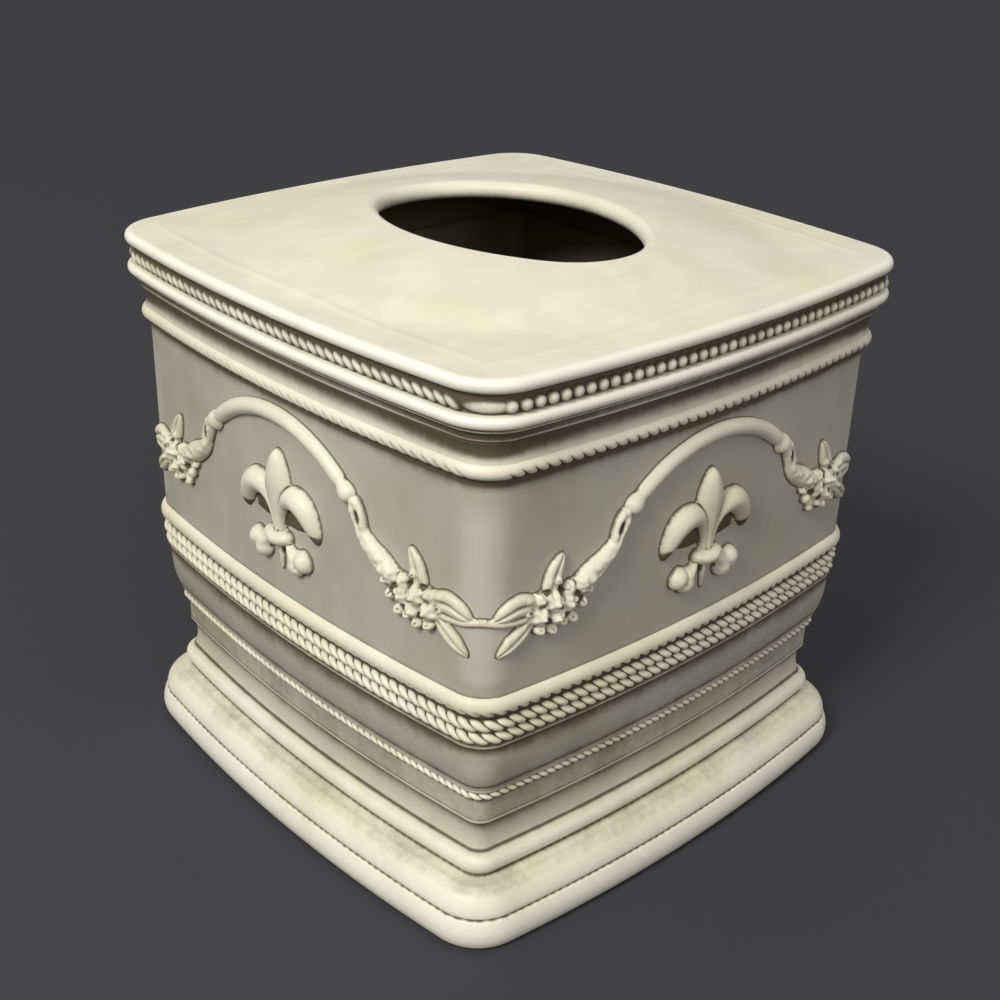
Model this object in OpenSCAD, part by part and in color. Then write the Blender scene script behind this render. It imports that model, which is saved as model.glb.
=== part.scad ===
// Tissue box cover for an upright box: a square casting with gently bowed sides, open underneath,
// closed by a crowned top with an oval opening. Rolls, ropes and a bead course run round it, and each
// side carries a fleur-de-lis under a ribbon arch, with flower garlands hanging out to the corners.
// Millimetres. The origin is on the ground, under the middle of the cover. +Z is up and -Y the front.

/* [Space inside] */
// Width of the square space that goes over the tissue box, which sets the width of the cover
cavity_w = 118; // [104:1:136]
// Radius of the upright corners of that space
cavity_corner_r = 6; // [4:0.5:10]
// Thickness of the cast wall behind the frieze, at the middle of a side
wall_t = 12.2; // [11:0.1:15]
// Thickness of the top under its crown
crown_wall = 5; // [4:0.2:6]

/* [Plan] */
// Radius of the outward bow of each side, at the lip
side_bow_r = 479; // [380:1:700]
// Radius of the rounded corners, at the lip
corner_r = 13.8; // [12.6:0.2:18]

/* [Foot mouldings, from the ground up] */
// Height of the bottom band
foot_band_h = 6.5; // [5:0.1:8]
// How far the bottom band stands out past the lip
foot_band_out = 0.2; // [0:0.1:1]
// Height of the broad torus above it
torus_h = 6.2; // [5:0.1:8]
// Set back of the torus's top edge from the lip
torus_in = 4; // [3:0.1:5]
// Height of the cove above the torus
cove_h = 3.7; // [3:0.1:5]
// Height of the foot roll
foot_roll_h = 4.4; // [3.6:0.1:5.2]
// Set back of the foot roll's crest from the lip
foot_roll_in = 7.2; // [6.6:0.1:8]
// Height of the scotia, the hollow over the foot roll
scotia_h = 9.5; // [7:0.1:12]
// Set back of the scotia from the lip
scotia_in = 10.1; // [9:0.1:10.6]
// Height of the fillet under the plinth rope
fillet_h = 5; // [4:0.1:6]
// Set back of that fillet from the lip
fillet_in = 9.4; // [8.6:0.1:10]

/* [Wall courses] */
// Height of the rounded dado between the plinth rope and the middle band
dado_h = 15.6; // [12:0.1:18]
// Height of the ledge under the middle band's ropes
ledge_h = 1.5; // [1:0.1:2]
// Height of the frieze that carries the ornaments
frieze_h = 53.4; // [50:0.2:60]
// Set back of the frieze wall from the lip
frieze_in = 4.8; // [4.4:0.1:5.4]
// Height of the neck cove under the top
neck_h = 4.3; // [3.6:0.1:6]
// Set back of the neck's edges from the lip
neck_in = 3.1; // [2.6:0.1:3.6]

/* [Rolls and ropes] */
// Height of the middle band's roll
band_roll_h = 5.5; // [4.4:0.1:6]
// How far that roll stands off the frieze wall
band_roll_out = 1.4; // [1:0.1:2]
// Height of each rope row
rope_h = 3.1; // [2.6:0.1:3.6]
// How far each rope row stands off its seat
rope_out = 0.9; // [0.5:0.05:1.4]
// Height of the cord under the neck roll
neck_cord_h = 1.5; // [1.2:0.1:2]
// How far that cord stands off the frieze wall
neck_cord_out = 0.7; // [0.4:0.05:1]
// Height of the neck roll
neck_roll_h = 3; // [2.4:0.1:4]
// How far the neck roll stands off the frieze wall
neck_roll_out = 2.1; // [1.4:0.1:2.6]

/* [Top] */
// Height of the narrow strip at the seam
seam_strip_h = 1.6; // [1:0.1:2.4]
// Height of the soffit hollow under the lip
soffit_h = 2.5; // [2:0.1:4]
// Height of the lip's lower roll
lip_roll_h = 2.8; // [2.4:0.1:4]
// Height of the groove for the beads
lip_groove_h = 4.3; // [3.7:0.1:5]
// Depth of the groove for the beads
lip_groove_in = 2; // [1.6:0.1:2.6]
// Width of a bead
bead_w = 3.4; // [2.8:0.05:3.6]
// Pitch of the beads
bead_pitch = 3.9; // [3.7:0.05:4.6]
// Plain length at each end of a side of the bead course
bead_plain = 5; // [3:0.5:20]
// Thickness of the top plate's rounded edge
plate_h = 3.3; // [2.8:0.1:4.4]
// Rise of the crown over the plate
crown_rise = 8.2; // [6:0.2:10]
// Set back of the crown's foot from the lip, at the middle of a side
crown_in = 7; // [5:0.5:10]
// Length of the oval opening
opening_l = 77; // [70:0.5:84]
// Width of the oval opening
opening_w = 56; // [50:0.5:60]
// Radius of the opening's two ends
opening_end_r = 22; // [20:0.5:24]
// Thickness of the opening's rolled rim
rim_t = 4.8; // [4:0.2:5.4]
// How far the rim stands over the crown
rim_out = 0.4; // [0.1:0.05:1]

/* [Ornaments] */
// Height of the fleur-de-lis
fleur_h = 33; // [28:0.5:36]
// Width of the fleur-de-lis
fleur_w = 31.4; // [28:0.2:36]
// How far the fleur-de-lis stands off the wall
fleur_relief = 3.6; // [3:0.1:5.5]
// Height of the fleur-de-lis' foot over the middle band
fleur_lift = 6.8; // [5:0.2:9]
// Radius of the ribbon arch, along its middle line
arch_r = 38.2; // [36:0.5:42]
// Half of the angle that the arch spans
arch_half_angle = 46; // [40:1:50]
// Width of the arch's ribbon
arch_w = 4.4; // [3.4:0.1:5.4]
// How far the arch stands off the wall
arch_relief = 2.4; // [1.6:0.1:3]
// Drop of the arch's crown below the neck roll
arch_drop = 4.9; // [3.9:0.1:9]
// How far the garlands stand off the wall at most
garland_relief = 4.6; // [3:0.1:5]
// Gap at a corner between the leaf tips of the two garlands that meet there
leaf_gap = 2.2; // [1:0.1:8]
// Height of a garland
garland_h = 25; // [20:0.5:28]

/* [Pads] */
// Diameter of each felt pad
pad_d = 12; // [8:0.5:13]
// Thickness of each felt pad
pad_t = 2; // [1.6:0.1:3]
// Depth of the recess that holds a pad
pad_recess = 1.2; // [0.8:0.1:1.4]

/* [Hidden] */

// Colours of the painted and rubbed finish
cream = [0.93, 0.90, 0.80];
taupe = [0.66, 0.64, 0.58];
felt = [0.25, 0.23, 0.20];

// Chords in one rounded stretch of a moulding
moulding_chords = 6;
// Facets of a full turn, for the long bows, for corners and for small rounds
bow_fn = 720;
corner_fn = 96;
small_fn = 32;
// How far a cut runs past the face that it goes through
overrun = 1;
// Film of glue under an applied ornament
glue = 0.05;
// Points of a profile nearer than this count as one
same_point = 0.02;

// Plan: every course is the lip's plan moved in or out, so all share these centres
cavity_half = cavity_w / 2;
lip_half = cavity_half + wall_t + frieze_in;
bow_back = side_bow_r - lip_half;
corner_c_true = (sqrt(2 * pow(side_bow_r - corner_r, 2) - pow(bow_back, 2)) - bow_back) / 2;
// Kept to a tenth of a millimetre, so that the planes of the joints pass through both centres
corner_c = round(10 * corner_c_true) / 10;
corner_foot = norm([corner_c, corner_c + bow_back]) - bow_back;
bow_angle = atan2(corner_c, corner_c + bow_back);
corner_angle = 90 - 2 * bow_angle;
// A point out on the plane of a joint, and how far a corner stands over its sides at the joint
joint_share = 1.1;
joint_x = joint_share * (corner_c + bow_back) - bow_back;
joint_y = joint_share * corner_c;
corner_proud = 0.02;
// The ring of mouldings reaches in to this share of the space inside, which the space then cuts
ring_inner_share = 0.8;
ring_inner = cavity_half * ring_inner_share;
slab_half = ring_inner + 2 * overrun;

// Heights of the courses
foot_z = pad_t - pad_recess;
torus_z = foot_z + foot_band_h;
cove_z = torus_z + torus_h;
foot_roll_z = cove_z + cove_h;
scotia_z = foot_roll_z + foot_roll_h;
fillet_z = scotia_z + scotia_h;
plinth_rope_z = fillet_z + fillet_h;
dado_z = plinth_rope_z + rope_h;
ledge_z = dado_z + dado_h;
rope_lower_z = ledge_z + ledge_h;
rope_upper_z = rope_lower_z + rope_h;
band_roll_z = rope_upper_z + rope_h;
frieze_z = band_roll_z + band_roll_h;
neck_cord_z = frieze_z + frieze_h;
neck_roll_z = neck_cord_z + neck_cord_h;
neck_z = neck_roll_z + neck_roll_h;
seam_z = neck_z + neck_h;
soffit_z = seam_z + seam_strip_h;
lip_roll_z = soffit_z + soffit_h;
lip_groove_z = lip_roll_z + lip_roll_h;
plate_z = lip_groove_z + lip_groove_h;
plate_top = plate_z + plate_h;

// How far a roll swells past its seat, as a share of its height
roll_share = 0.42;
// Half widths of the courses, middle of the side to middle of the cover
foot_half = lip_half + foot_band_out;
foot_band_bulge = 1;
groove_in = 0.9;
groove_h = 0.5;
torus_top_half = lip_half - torus_in;
torus_bulge = 0.5;
foot_roll_bulge = foot_roll_h * roll_share;
foot_roll_seat = lip_half - foot_roll_in - foot_roll_bulge;
cove_top_half = foot_roll_seat;
cove_hollow = 0.8;
scotia_foot_half = foot_roll_seat - overrun / 2;
scotia_half = lip_half - scotia_in;
scotia_hollow = 0.5;
fillet_half = lip_half - fillet_in;
plinth_seat = fillet_half + overrun / 2;
dado_foot_half = lip_half - foot_roll_in;
dado_bulge = 0.75;
wall_half = lip_half - frieze_in;
rope_step = 0.45;
rope_upper_seat = wall_half - glue;
rope_lower_seat = rope_upper_seat - rope_step;
neck_half = lip_half - neck_in;
neck_hollow = 0.9;
soffit_half = lip_half - overrun;
soffit_hollow = 0.5;
lip_roll_bulge = lip_roll_h * roll_share;
lip_roll_seat = lip_half - lip_roll_bulge;
lip_groove_seat = lip_half - lip_groove_in;
plate_bulge = plate_h * roll_share;
plate_seat = lip_half - plate_bulge;

crown_foot_r = lip_half - crown_in;

// Crown: a dome whose sphere passes through its foot and its top
dome_r = (pow(crown_foot_r, 2) + pow(crown_rise, 2)) / (2 * crown_rise);
dome_z = plate_top + crown_rise - dome_r;

// Opening: an oval of four arcs that meet smoothly
end_c = opening_l / 2 - opening_end_r;
flank_r = (pow(opening_w / 2, 2) + pow(end_c, 2) - pow(opening_end_r, 2))
    / (2 * (opening_w / 2 - opening_end_r));
flank_c = flank_r - opening_w / 2;
flank_angle = atan2(end_c, flank_c);
rim_r = rim_t / 2;
// Points that the cuts between the rim's arcs pass through, on the lines from each flank's centre
rim_reach = [[end_c + end_c, flank_c], [end_c, 0] + 3 * [end_c, flank_c]];
// The crown is flat round the opening, out to this radius, and the rim stands just over it
flat_r = (opening_w + opening_l) / 4 + rim_r / 2;
flat_z = dome_z + sqrt(pow(dome_r, 2) - pow(flat_r, 2));
rim_z = flat_z + rim_out - rim_r;

// Points of a round stretch from p up to q that swells outwards by bulge, or hollows where it is negative
function bow(p, q, bulge, n = moulding_chords) =
    let (d = q - p, l = norm(d), s = abs(bulge), r = (l * l / 4 + s * s) / (2 * s),
        half = 2 * atan(2 * s / l), out = [d[1], -d[0]] / l * sign(bulge), mid = (p + q) / 2)
    [for (i = [0:n]) let (a = half * (2 * i / n - 1))
        mid + out * (r * cos(a) - r + s) + d / l * r * sin(a)];

// The plan's outline at a half width, as arc lengths: half of a side, one corner, a quarter of the round
function side_run(half) = (bow_back + half) * bow_angle * PI / 180;
function corner_run(half) = (half - corner_foot) * corner_angle * PI / 180;
function quarter_run(half) = 2 * side_run(half) + corner_run(half);

// Place on the outline, s along it from the middle of the right side: x, y and the outward heading
function side_place(half, s) =
    let (r = bow_back + half, a = s / r * 180 / PI) [r * cos(a) - bow_back, r * sin(a), a];
function corner_place(half, s) =
    let (r = half - corner_foot, a = bow_angle + s / r * 180 / PI)
        [corner_c + r * cos(a), corner_c + r * sin(a), a];
function quarter_place(half, s) =
    abs(s) <= side_run(half) ? side_place(half, s) : corner_place(half, s - side_run(half));

// Carries children, drawn with X along the wall, Y up and Z outwards, to a place on a course
module seat(half, s, z) {
    turn = floor((s + side_run(half)) / quarter_run(half));
    p = quarter_place(half, s - turn * quarter_run(half));
    rotate(90 * turn)
        translate([p[0], p[1], z])
            rotate(p[2])
                rotate([90, 0, 90])
                    children();
}

// Runs a profile, drawn as half width and height, round the bowed square: each side is cut from a
// great ring and each corner from a small one, along the planes through both their centres
module run_round() {
    for (q = [0:3])
        rotate(90 * q) {
            intersection() {
                translate([-bow_back, 0])
                    rotate_extrude($fn = bow_fn)
                        translate([bow_back, 0])
                            children();
                linear_extrude(plate_top + crown_rise)
                    polygon([[-bow_back, 0], [joint_x, -joint_y], [joint_x, joint_y]]);
            }
            run_corner()
                translate([corner_proud, 0])
                    children();
        }
}

// Runs a profile round one corner only
module run_corner() {
    intersection() {
        translate([corner_c, corner_c])
            rotate_extrude($fn = corner_fn)
                intersection() {
                    translate([-corner_foot, 0])
                        children();
                    square([lip_half, plate_top + crown_rise]);
                }
        linear_extrude(plate_top + crown_rise)
            polygon([[corner_c, corner_c], [joint_x, joint_y], [joint_x, joint_x], [joint_y, joint_x]]);
    }
}

// Square space for the tissue box, up to a height
module box_space(z) {
    c = cavity_half - cavity_corner_r;
    translate([0, 0, -overrun])
        linear_extrude(z + overrun)
            union() {
                square([cavity_w, 2 * c], center = true);
                square([2 * c, cavity_w], center = true);
                for (x = [-c, c], y = [-c, c])
                    translate([x, y])
                        circle(r = cavity_corner_r, $fn = corner_fn);
            }
}

// Leaves out each point that repeats the one before it
function unrepeated(points) = [for (i = [0:len(points) - 1])
    if (i == 0 || norm(points[i] - points[i - 1]) > same_point) points[i]];

function body_profile() = concat(
    [[ring_inner, foot_z]],
    bow([foot_half, foot_z], [foot_half - groove_in, torus_z - groove_h], foot_band_bulge),
    [[foot_half - 2 * groove_in, torus_z - groove_h / 2]],
    bow([foot_half - groove_in - groove_h, torus_z], [torus_top_half, cove_z], torus_bulge),
    bow([torus_top_half, cove_z], [cove_top_half, foot_roll_z], -cove_hollow),
    bow([foot_roll_seat, foot_roll_z], [foot_roll_seat, scotia_z], foot_roll_bulge),
    bow([scotia_foot_half, scotia_z], [scotia_half, fillet_z], -scotia_hollow),
    [[fillet_half, fillet_z], [fillet_half, plinth_rope_z],
     [plinth_seat, plinth_rope_z], [plinth_seat, dado_z]],
    bow([dado_foot_half, dado_z], [wall_half - rope_step, ledge_z], dado_bulge),
    [[wall_half, ledge_z], [wall_half, rope_lower_z],
     [rope_lower_seat, rope_lower_z], [rope_lower_seat, rope_upper_z],
     [rope_upper_seat, rope_upper_z], [rope_upper_seat, band_roll_z],
     [wall_half, band_roll_z], [wall_half, neck_z]],
    bow([neck_half, neck_z], [neck_half, seam_z], -neck_hollow),
    [[ring_inner, seam_z]]);

// Lower casting: foot mouldings, dado, frieze and neck round a straight space, open underneath
module body_shell() {
    color(taupe)
        difference() {
            run_round()
                polygon(unrepeated(body_profile()));
            box_space(plate_top);
            for (q = [0:3])
                rotate(90 * q)
                    pad_place()
                        translate([0, 0, -overrun])
                            cylinder(d = pad_d + 2 * glue, h = pad_recess + overrun, $fn = corner_fn);
        }
}

function cap_profile() = concat(
    [[ring_inner, seam_z], [neck_half, seam_z], [neck_half, soffit_z]],
    bow([neck_half - glue, soffit_z], [soffit_half, lip_roll_z], -soffit_hollow),
    bow([lip_roll_seat, lip_roll_z], [lip_roll_seat, lip_groove_z], lip_roll_bulge),
    [[lip_groove_seat, lip_groove_z], [lip_groove_seat, plate_z]],
    bow([plate_seat, plate_z], [plate_seat, plate_top], plate_bulge),
    [[ring_inner, plate_top]]);

// Outline of the oval opening, moved outwards by grow
module oval(grow) {
    for (m = [-1, 1])
        translate([m * end_c, 0])
            circle(r = opening_end_r + grow, $fn = corner_fn);
    intersection() {
        translate([0, flank_c])
            circle(r = flank_r + grow, $fn = bow_fn);
        translate([0, -flank_c])
            circle(r = flank_r + grow, $fn = bow_fn);
        square([2 * (flank_r + grow) * sin(flank_angle), opening_l], center = true);
    }
}

// Upper casting: seam strip, soffit, lip roll, bead groove, plate and crown, with the oval opening
module top_cap() {
    color(cream) {
        difference() {
            union() {
                run_round()
                    polygon(unrepeated(cap_profile()));
                translate([-slab_half, -slab_half, seam_z])
                    cube([2 * slab_half, 2 * slab_half, plate_top - seam_z]);
                dome(dome_r, crown_foot_r, flat_z);
            }
            intersection() {
                box_space(plate_top + crown_rise);
                dome(dome_r - crown_wall, 2 * lip_half, flat_z);
            }
            translate([0, 0, seam_z])
                linear_extrude(plate_top)
                    oval(rim_r);
        }
        rim();
    }
}

// Solid under a sphere about the crown's centre, out to a radius and up to a height
module dome(r, reach, top) {
    intersection() {
        translate([0, 0, dome_z])
            sphere(r = r, $fn = bow_fn);
        translate([0, 0, seam_z])
            cylinder(r = reach, h = top - seam_z, $fn = bow_fn / 2);
    }
}

// Rolled rim of the opening, a bead carried round the oval
module rim() {
    translate([0, 0, rim_z])
        for (m = [0, 180])
            rotate(m) {
                arc_of_rim(end_c, 0, opening_end_r)
                    polygon([[end_c, 0], rim_reach[0], [opening_l, opening_l], [opening_l, -opening_l],
                        [rim_reach[0][0], -rim_reach[0][1]]]);
                arc_of_rim(0, -flank_c, flank_r)
                    polygon([[0, -flank_c], rim_reach[1], [-rim_reach[1][0], rim_reach[1][1]]]);
            }
}

// Full turn of the rim's bead about one centre, cut to the plan given as children
module arc_of_rim(x, y, r) {
    intersection() {
        translate([x, y])
            rotate_extrude($fn = 2 * corner_fn)
                translate([r + rim_r, 0])
                    circle(r = rim_r, $fn = small_fn);
        translate([0, 0, -rim_t])
            linear_extrude(2 * rim_t)
                children();
    }
}

// Half round moulding laid on a course's face: its foot height, its height and how far it stands out
module half_round(seat_half, z, h, out) {
    polygon(bow([seat_half, z], [seat_half, z + h], out));
}

// Course of beads in the lip's groove along each side, with a plain roll round each corner
module lip_beads() {
    r = bead_w / 2;
    count = floor(2 * (side_run(lip_groove_seat) - bead_plain) / bead_pitch);
    color(cream) {
        for (q = [0:3], i = [0:count])
            seat(lip_groove_seat, q * quarter_run(lip_groove_seat) + (i - count / 2) * bead_pitch,
                lip_groove_z + lip_groove_h / 2)
                bead(r);
        for (q = [0:3])
            rotate(90 * q)
                run_corner()
                    half_round(lip_groove_seat, lip_groove_z + lip_groove_h / 2 - r, bead_w, r * roll_share);
    }
}

// Bead: half a ball, flat at the back
module bead(r) {
    rotate_extrude($fn = small_fn)
        intersection() {
            circle(r = r, $fn = small_fn);
            square([r, r]);
        }
}

module neck_roll() {
    color(cream)
        run_round()
            half_round(wall_half, neck_roll_z, neck_roll_h, neck_roll_out);
}

module neck_cord() {
    color(cream)
        run_round()
            half_round(wall_half, neck_cord_z, neck_cord_h, neck_cord_out);
}

module band_roll() {
    color(cream)
        run_round()
            half_round(wall_half, band_roll_z, band_roll_h, band_roll_out);
}

// Plain core of a rope row
module rope_core(seat_half, z) {
    color(cream)
        run_round()
            half_round(seat_half, z, rope_h, rope_out);
}

module band_rope_upper() {
    rope_core(rope_upper_seat, rope_upper_z);
}

module band_rope_lower() {
    rope_core(rope_lower_seat, rope_lower_z);
}

module plinth_rope() {
    rope_core(plinth_seat, plinth_rope_z);
}

// A point of relief: u along the right wall from its middle, z up, h off the wall
function on_wall(u, z, h) =
    let (p = quarter_place(wall_half, u)) [p[0] + h * cos(p[2]), p[1] + h * sin(p[2]), z];

// Cross sections of relief, as shares of its half width and of its height
round_shares = [[-1, 0], [-0.87, 0.5], [-0.5, 0.87], [0, 1], [0.5, 0.87], [0.87, 0.5], [1, 0]];
leaf_shares = [[-1, 0], [-0.8, 0.75], [-0.4, 1], [0, 0.6], [0.4, 1], [0.8, 0.75], [1, 0]];

// Relief carried along stations of [u, z, half width, height]
module relief(stations, section = round_shares) {
    m = len(stations);
    n = len(section);
    ways = [for (i = [0:m - 1])
        let (d = stations[min(i + 1, m - 1)] - stations[max(i - 1, 0)]) [d[0], d[1]] / norm([d[0], d[1]])];
    points = [for (i = [0:m - 1], k = [0:n - 1])
        let (s = stations[i], w = s[2] * section[k][0])
        on_wall(s[0] - ways[i][1] * w, s[1] + ways[i][0] * w, glue + s[3] * section[k][1])];
    faces = concat([[for (k = [n - 1:-1:0]) k]], [[for (k = [0:n - 1]) (m - 1) * n + k]],
        [for (i = [0:m - 2], k = [0:n - 1])
            let (a = i * n + k, b = i * n + (k + 1) % n)
            each [[a, b + n, a + n], [a, b, b + n]]]);
    polyhedron(points, faces, convexity = 6);
}

// Stations of the fleur-de-lis: across as shares of its width, up as shares of its height,
// half width as shares of its width and height off the wall as shares of its relief
petal_shares = [[0, 0.35, 0.048, 0.58], [0, 0.47, 0.06, 0.63], [0, 0.6, 0.1, 0.73], [0, 0.73, 0.14, 0.8],
    [0, 0.82, 0.146, 0.78], [0, 0.91, 0.1, 0.68], [0, 1, 0.015, 0.27]];
hook_shares = [[0.038, 0.35, 0.038, 0.5], [0.064, 0.47, 0.035, 0.58], [0.096, 0.58, 0.05, 0.68],
    [0.16, 0.67, 0.086, 0.83], [0.255, 0.69, 0.105, 0.95], [0.35, 0.647, 0.11, 1],
    [0.414, 0.556, 0.092, 0.95], [0.43, 0.46, 0.064, 0.83], [0.414, 0.388, 0.035, 0.6]];
tie_shares = [[-0.15, 0.335, 0.03, 0.5], [-0.115, 0.33, 0.054, 0.78], [0, 0.31, 0.073, 1],
    [0.115, 0.33, 0.054, 0.78], [0.15, 0.335, 0.03, 0.5]];
outer_lobe_shares = [[0.057, 0.28, 0.045, 0.55], [0.175, 0.253, 0.075, 0.75], [0.287, 0.241, 0.1, 0.9],
    [0.37, 0.222, 0.055, 0.6]];
inner_lobe_shares = [[0.038, 0.235, 0.03, 0.5], [0.115, 0.176, 0.07, 0.7], [0.188, 0.144, 0.098, 0.88],
    [0.21, 0.07, 0.055, 0.6]];
spike_shares = [[0, 0.26, 0.04, 0.45], [0, 0.13, 0.028, 0.32], [0, 0, 0.01, 0.2]];

fleur_z = frieze_z + fleur_lift;

function fleur_stations(shares) = [for (s = shares)
    [s[0] * fleur_w, fleur_z + s[1] * fleur_h, s[2] * fleur_w, s[3] * fleur_relief]];

// Fleur-de-lis on one side: a lance petal, two hooked petals, a tie, and lobes and a spike below it
module fleur(q) {
    color(cream)
        rotate(90 * q) {
            relief(fleur_stations(petal_shares));
            relief(fleur_stations(tie_shares));
            relief(fleur_stations(spike_shares));
            for (m = [0, 1])
                mirror([0, m, 0]) {
                    relief(fleur_stations(hook_shares));
                    relief(fleur_stations(outer_lobe_shares));
                    relief(fleur_stations(inner_lobe_shares));
                }
        }
}

// Chords of the arch, and how it swells into a knob at each end, as shares of its half width
arch_chords = 18;
knob_swell_shares = [0.35, 1.15, 1.25];
arch_z = neck_cord_z - arch_drop - arch_r;

function arch_swell(i) = i < len(knob_swell_shares) ? knob_swell_shares[i] : 1;
function arch_stations() = [for (i = [0:arch_chords])
    let (a = arch_half_angle * (2 * i / arch_chords - 1), k = arch_swell(min(i, arch_chords - i)))
    [arch_r * sin(a), arch_z + arch_r * cos(a), arch_w / 2 * k, arch_relief * k]];

// Ribbon arch over one fleur-de-lis
module arch(q) {
    color(cream)
        rotate(90 * q)
            relief(arch_stations());
}

// Garland: from the knot under the arch's knob out and down to the corner. Across and up are shares
// of its width and height, half widths are shares of its width, heights shares of its relief
stem_shares = [[-0.01, 0.95, 0.045, 0.45], [0.02, 0.83, 0.045, 0.48], [0.05, 0.744, 0.052, 0.52],
    [0.11, 0.672, 0.058, 0.62], [0.183, 0.592, 0.07, 0.7], [0.263, 0.528, 0.078, 0.75],
    [0.326, 0.496, 0.07, 0.7], [0.44, 0.4, 0.09, 0.6], [0.625, 0.34, 0.085, 0.6], [0.72, 0.336, 0.05, 0.55]];
leaf_up_shares = [[0.474, 0.42, 0.034, 0.5], [0.508, 0.54, 0.063, 0.68], [0.543, 0.67, 0.068, 0.66],
    [0.56, 0.762, 0.04, 0.5], [0.563, 0.812, 0.012, 0.25]];
leaf_out_shares = [[0.685, 0.37, 0.04, 0.62], [0.765, 0.43, 0.074, 0.76], [0.856, 0.45, 0.09, 0.76],
    [0.936, 0.414, 0.063, 0.57], [1, 0.36, 0.012, 0.25]];
leaf_low_shares = [[0.714, 0.264, 0.034, 0.52], [0.782, 0.168, 0.057, 0.64], [0.856, 0.088, 0.06, 0.57],
    [0.913, 0.028, 0.037, 0.4], [0.95, -0.012, 0.011, 0.2]];
// Centres of the flowers and of the buds, and their radii, as shares of the garland's width
flower_shares = [[0.36, 0.536], [0.486, 0.38], [0.651, 0.44]];
bud_shares = [[0.25, 0.396], [0.36, 0.24], [0.366, 0.08], [0.457, 0.208], [0.543, 0.216], [0.68, 0.16]];
flower_share = 0.094;
bud_share = 0.045;
bud_relief_share = 0.55;
petals = 5;
flower_points = 15;
bud_points = 6;
// How far petals reach out and in from the flower's radius
petal_share = 0.16;
// Rings of a flower and of a bud from the wall up: radius and height, as shares of their own
flower_ring_shares = [[1, 0], [0.94, 0.45], [0.6, 0.75], [0.38, 0.45], [0.26, 0.9]];
bud_ring_shares = [[1, 0], [0.8, 0.6]];

knot_u = (arch_r + arch_w / 2) * sin(arch_half_angle) + overrun / 2;
garland_w = quarter_run(wall_half) / 2 - leaf_gap / 2 - knot_u;
garland_z = arch_z + arch_r * cos(arch_half_angle) - garland_h;

function garland_stations(shares) = [for (s = shares)
    [knot_u + s[0] * garland_w, garland_z + s[1] * garland_h, s[2] * garland_w, s[3] * garland_relief]];

// Boss of relief built up in rings round a centre, its plan waved into petals
module boss(u, z, r, h, rings, n, wave) {
    m = len(rings);
    points = concat(
        [for (i = [0:m - 1], k = [0:n - 1])
            let (a = 360 * k / n, reach = r * rings[i][0] * (1 + wave * cos(petals * a)))
            on_wall(u + reach * cos(a), z + reach * sin(a), glue + h * rings[i][1])],
        [on_wall(u, z, glue + h)]);
    faces = concat([[for (k = [0:n - 1]) k]],
        [for (i = [0:m - 2], k = [0:n - 1])
            let (a = i * n + k, b = i * n + (k + 1) % n)
            each [[a, b + n, b], [a, a + n, b + n]]],
        [for (k = [0:n - 1]) [(m - 1) * n + k, m * n, (m - 1) * n + (k + 1) % n]]);
    polyhedron(points, faces, convexity = 4);
}

module garland_boss(place, r, h, rings, n, wave) {
    boss(knot_u + place[0] * garland_w, garland_z + place[1] * garland_h, r, h, rings, n, wave);
}

// Garland on side q, its outer end at the corner ahead where way is 0 and at the one behind where it is 1
module garland(q, way) {
    color(cream)
        rotate(90 * q)
            mirror([0, way, 0]) {
                relief(garland_stations(stem_shares));
                for (leaf = [leaf_up_shares, leaf_out_shares, leaf_low_shares])
                    relief(garland_stations(leaf), leaf_shares);
                for (place = flower_shares)
                    garland_boss(place, flower_share * garland_w, garland_relief, flower_ring_shares,
                        flower_points, petal_share);
                for (place = bud_shares)
                    garland_boss(place, bud_share * garland_w, bud_relief_share * garland_relief,
                        bud_ring_shares, bud_points, 0);
            }
}

// Middle of the rim's corner on the underside, between the space inside and the foot's outline
module pad_place() {
    out = corner_c / cos(45) + foot_half - corner_foot;
    inside = (cavity_half - cavity_corner_r) / cos(45) + cavity_corner_r;
    m = (out + inside) / 2 * cos(45);
    translate([m, m, foot_z])
        children();
}

// Felt pad in its recess under one corner
module pad(q) {
    color(felt)
        rotate(90 * q)
            pad_place()
                translate([0, 0, -foot_z])
                    cylinder(d = pad_d, h = pad_t, $fn = corner_fn);
}

body_shell();
top_cap();
lip_beads();
neck_roll();
neck_cord();
band_roll();
band_rope_upper();
band_rope_lower();
plinth_rope();
fleur(0);  // fleur_right
fleur(1);  // fleur_back
fleur(2);  // fleur_left
fleur(3);  // fleur_front
arch(0);  // arch_right
arch(1);  // arch_back
arch(2);  // arch_left
arch(3);  // arch_front
garland(0, 0);  // garland_right_rear
garland(0, 1);  // garland_right_front
garland(1, 0);  // garland_back_left
garland(1, 1);  // garland_back_right
garland(2, 0);  // garland_left_front
garland(2, 1);  // garland_left_rear
garland(3, 0);  // garland_front_right
garland(3, 1);  // garland_front_left
pad(0);  // pad_right_rear
pad(1);  // pad_left_rear
pad(2);  // pad_left_front
pad(3);  // pad_right_front
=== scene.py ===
import math

import bpy
import numpy as np
from mathutils import Matrix, Vector


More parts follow.
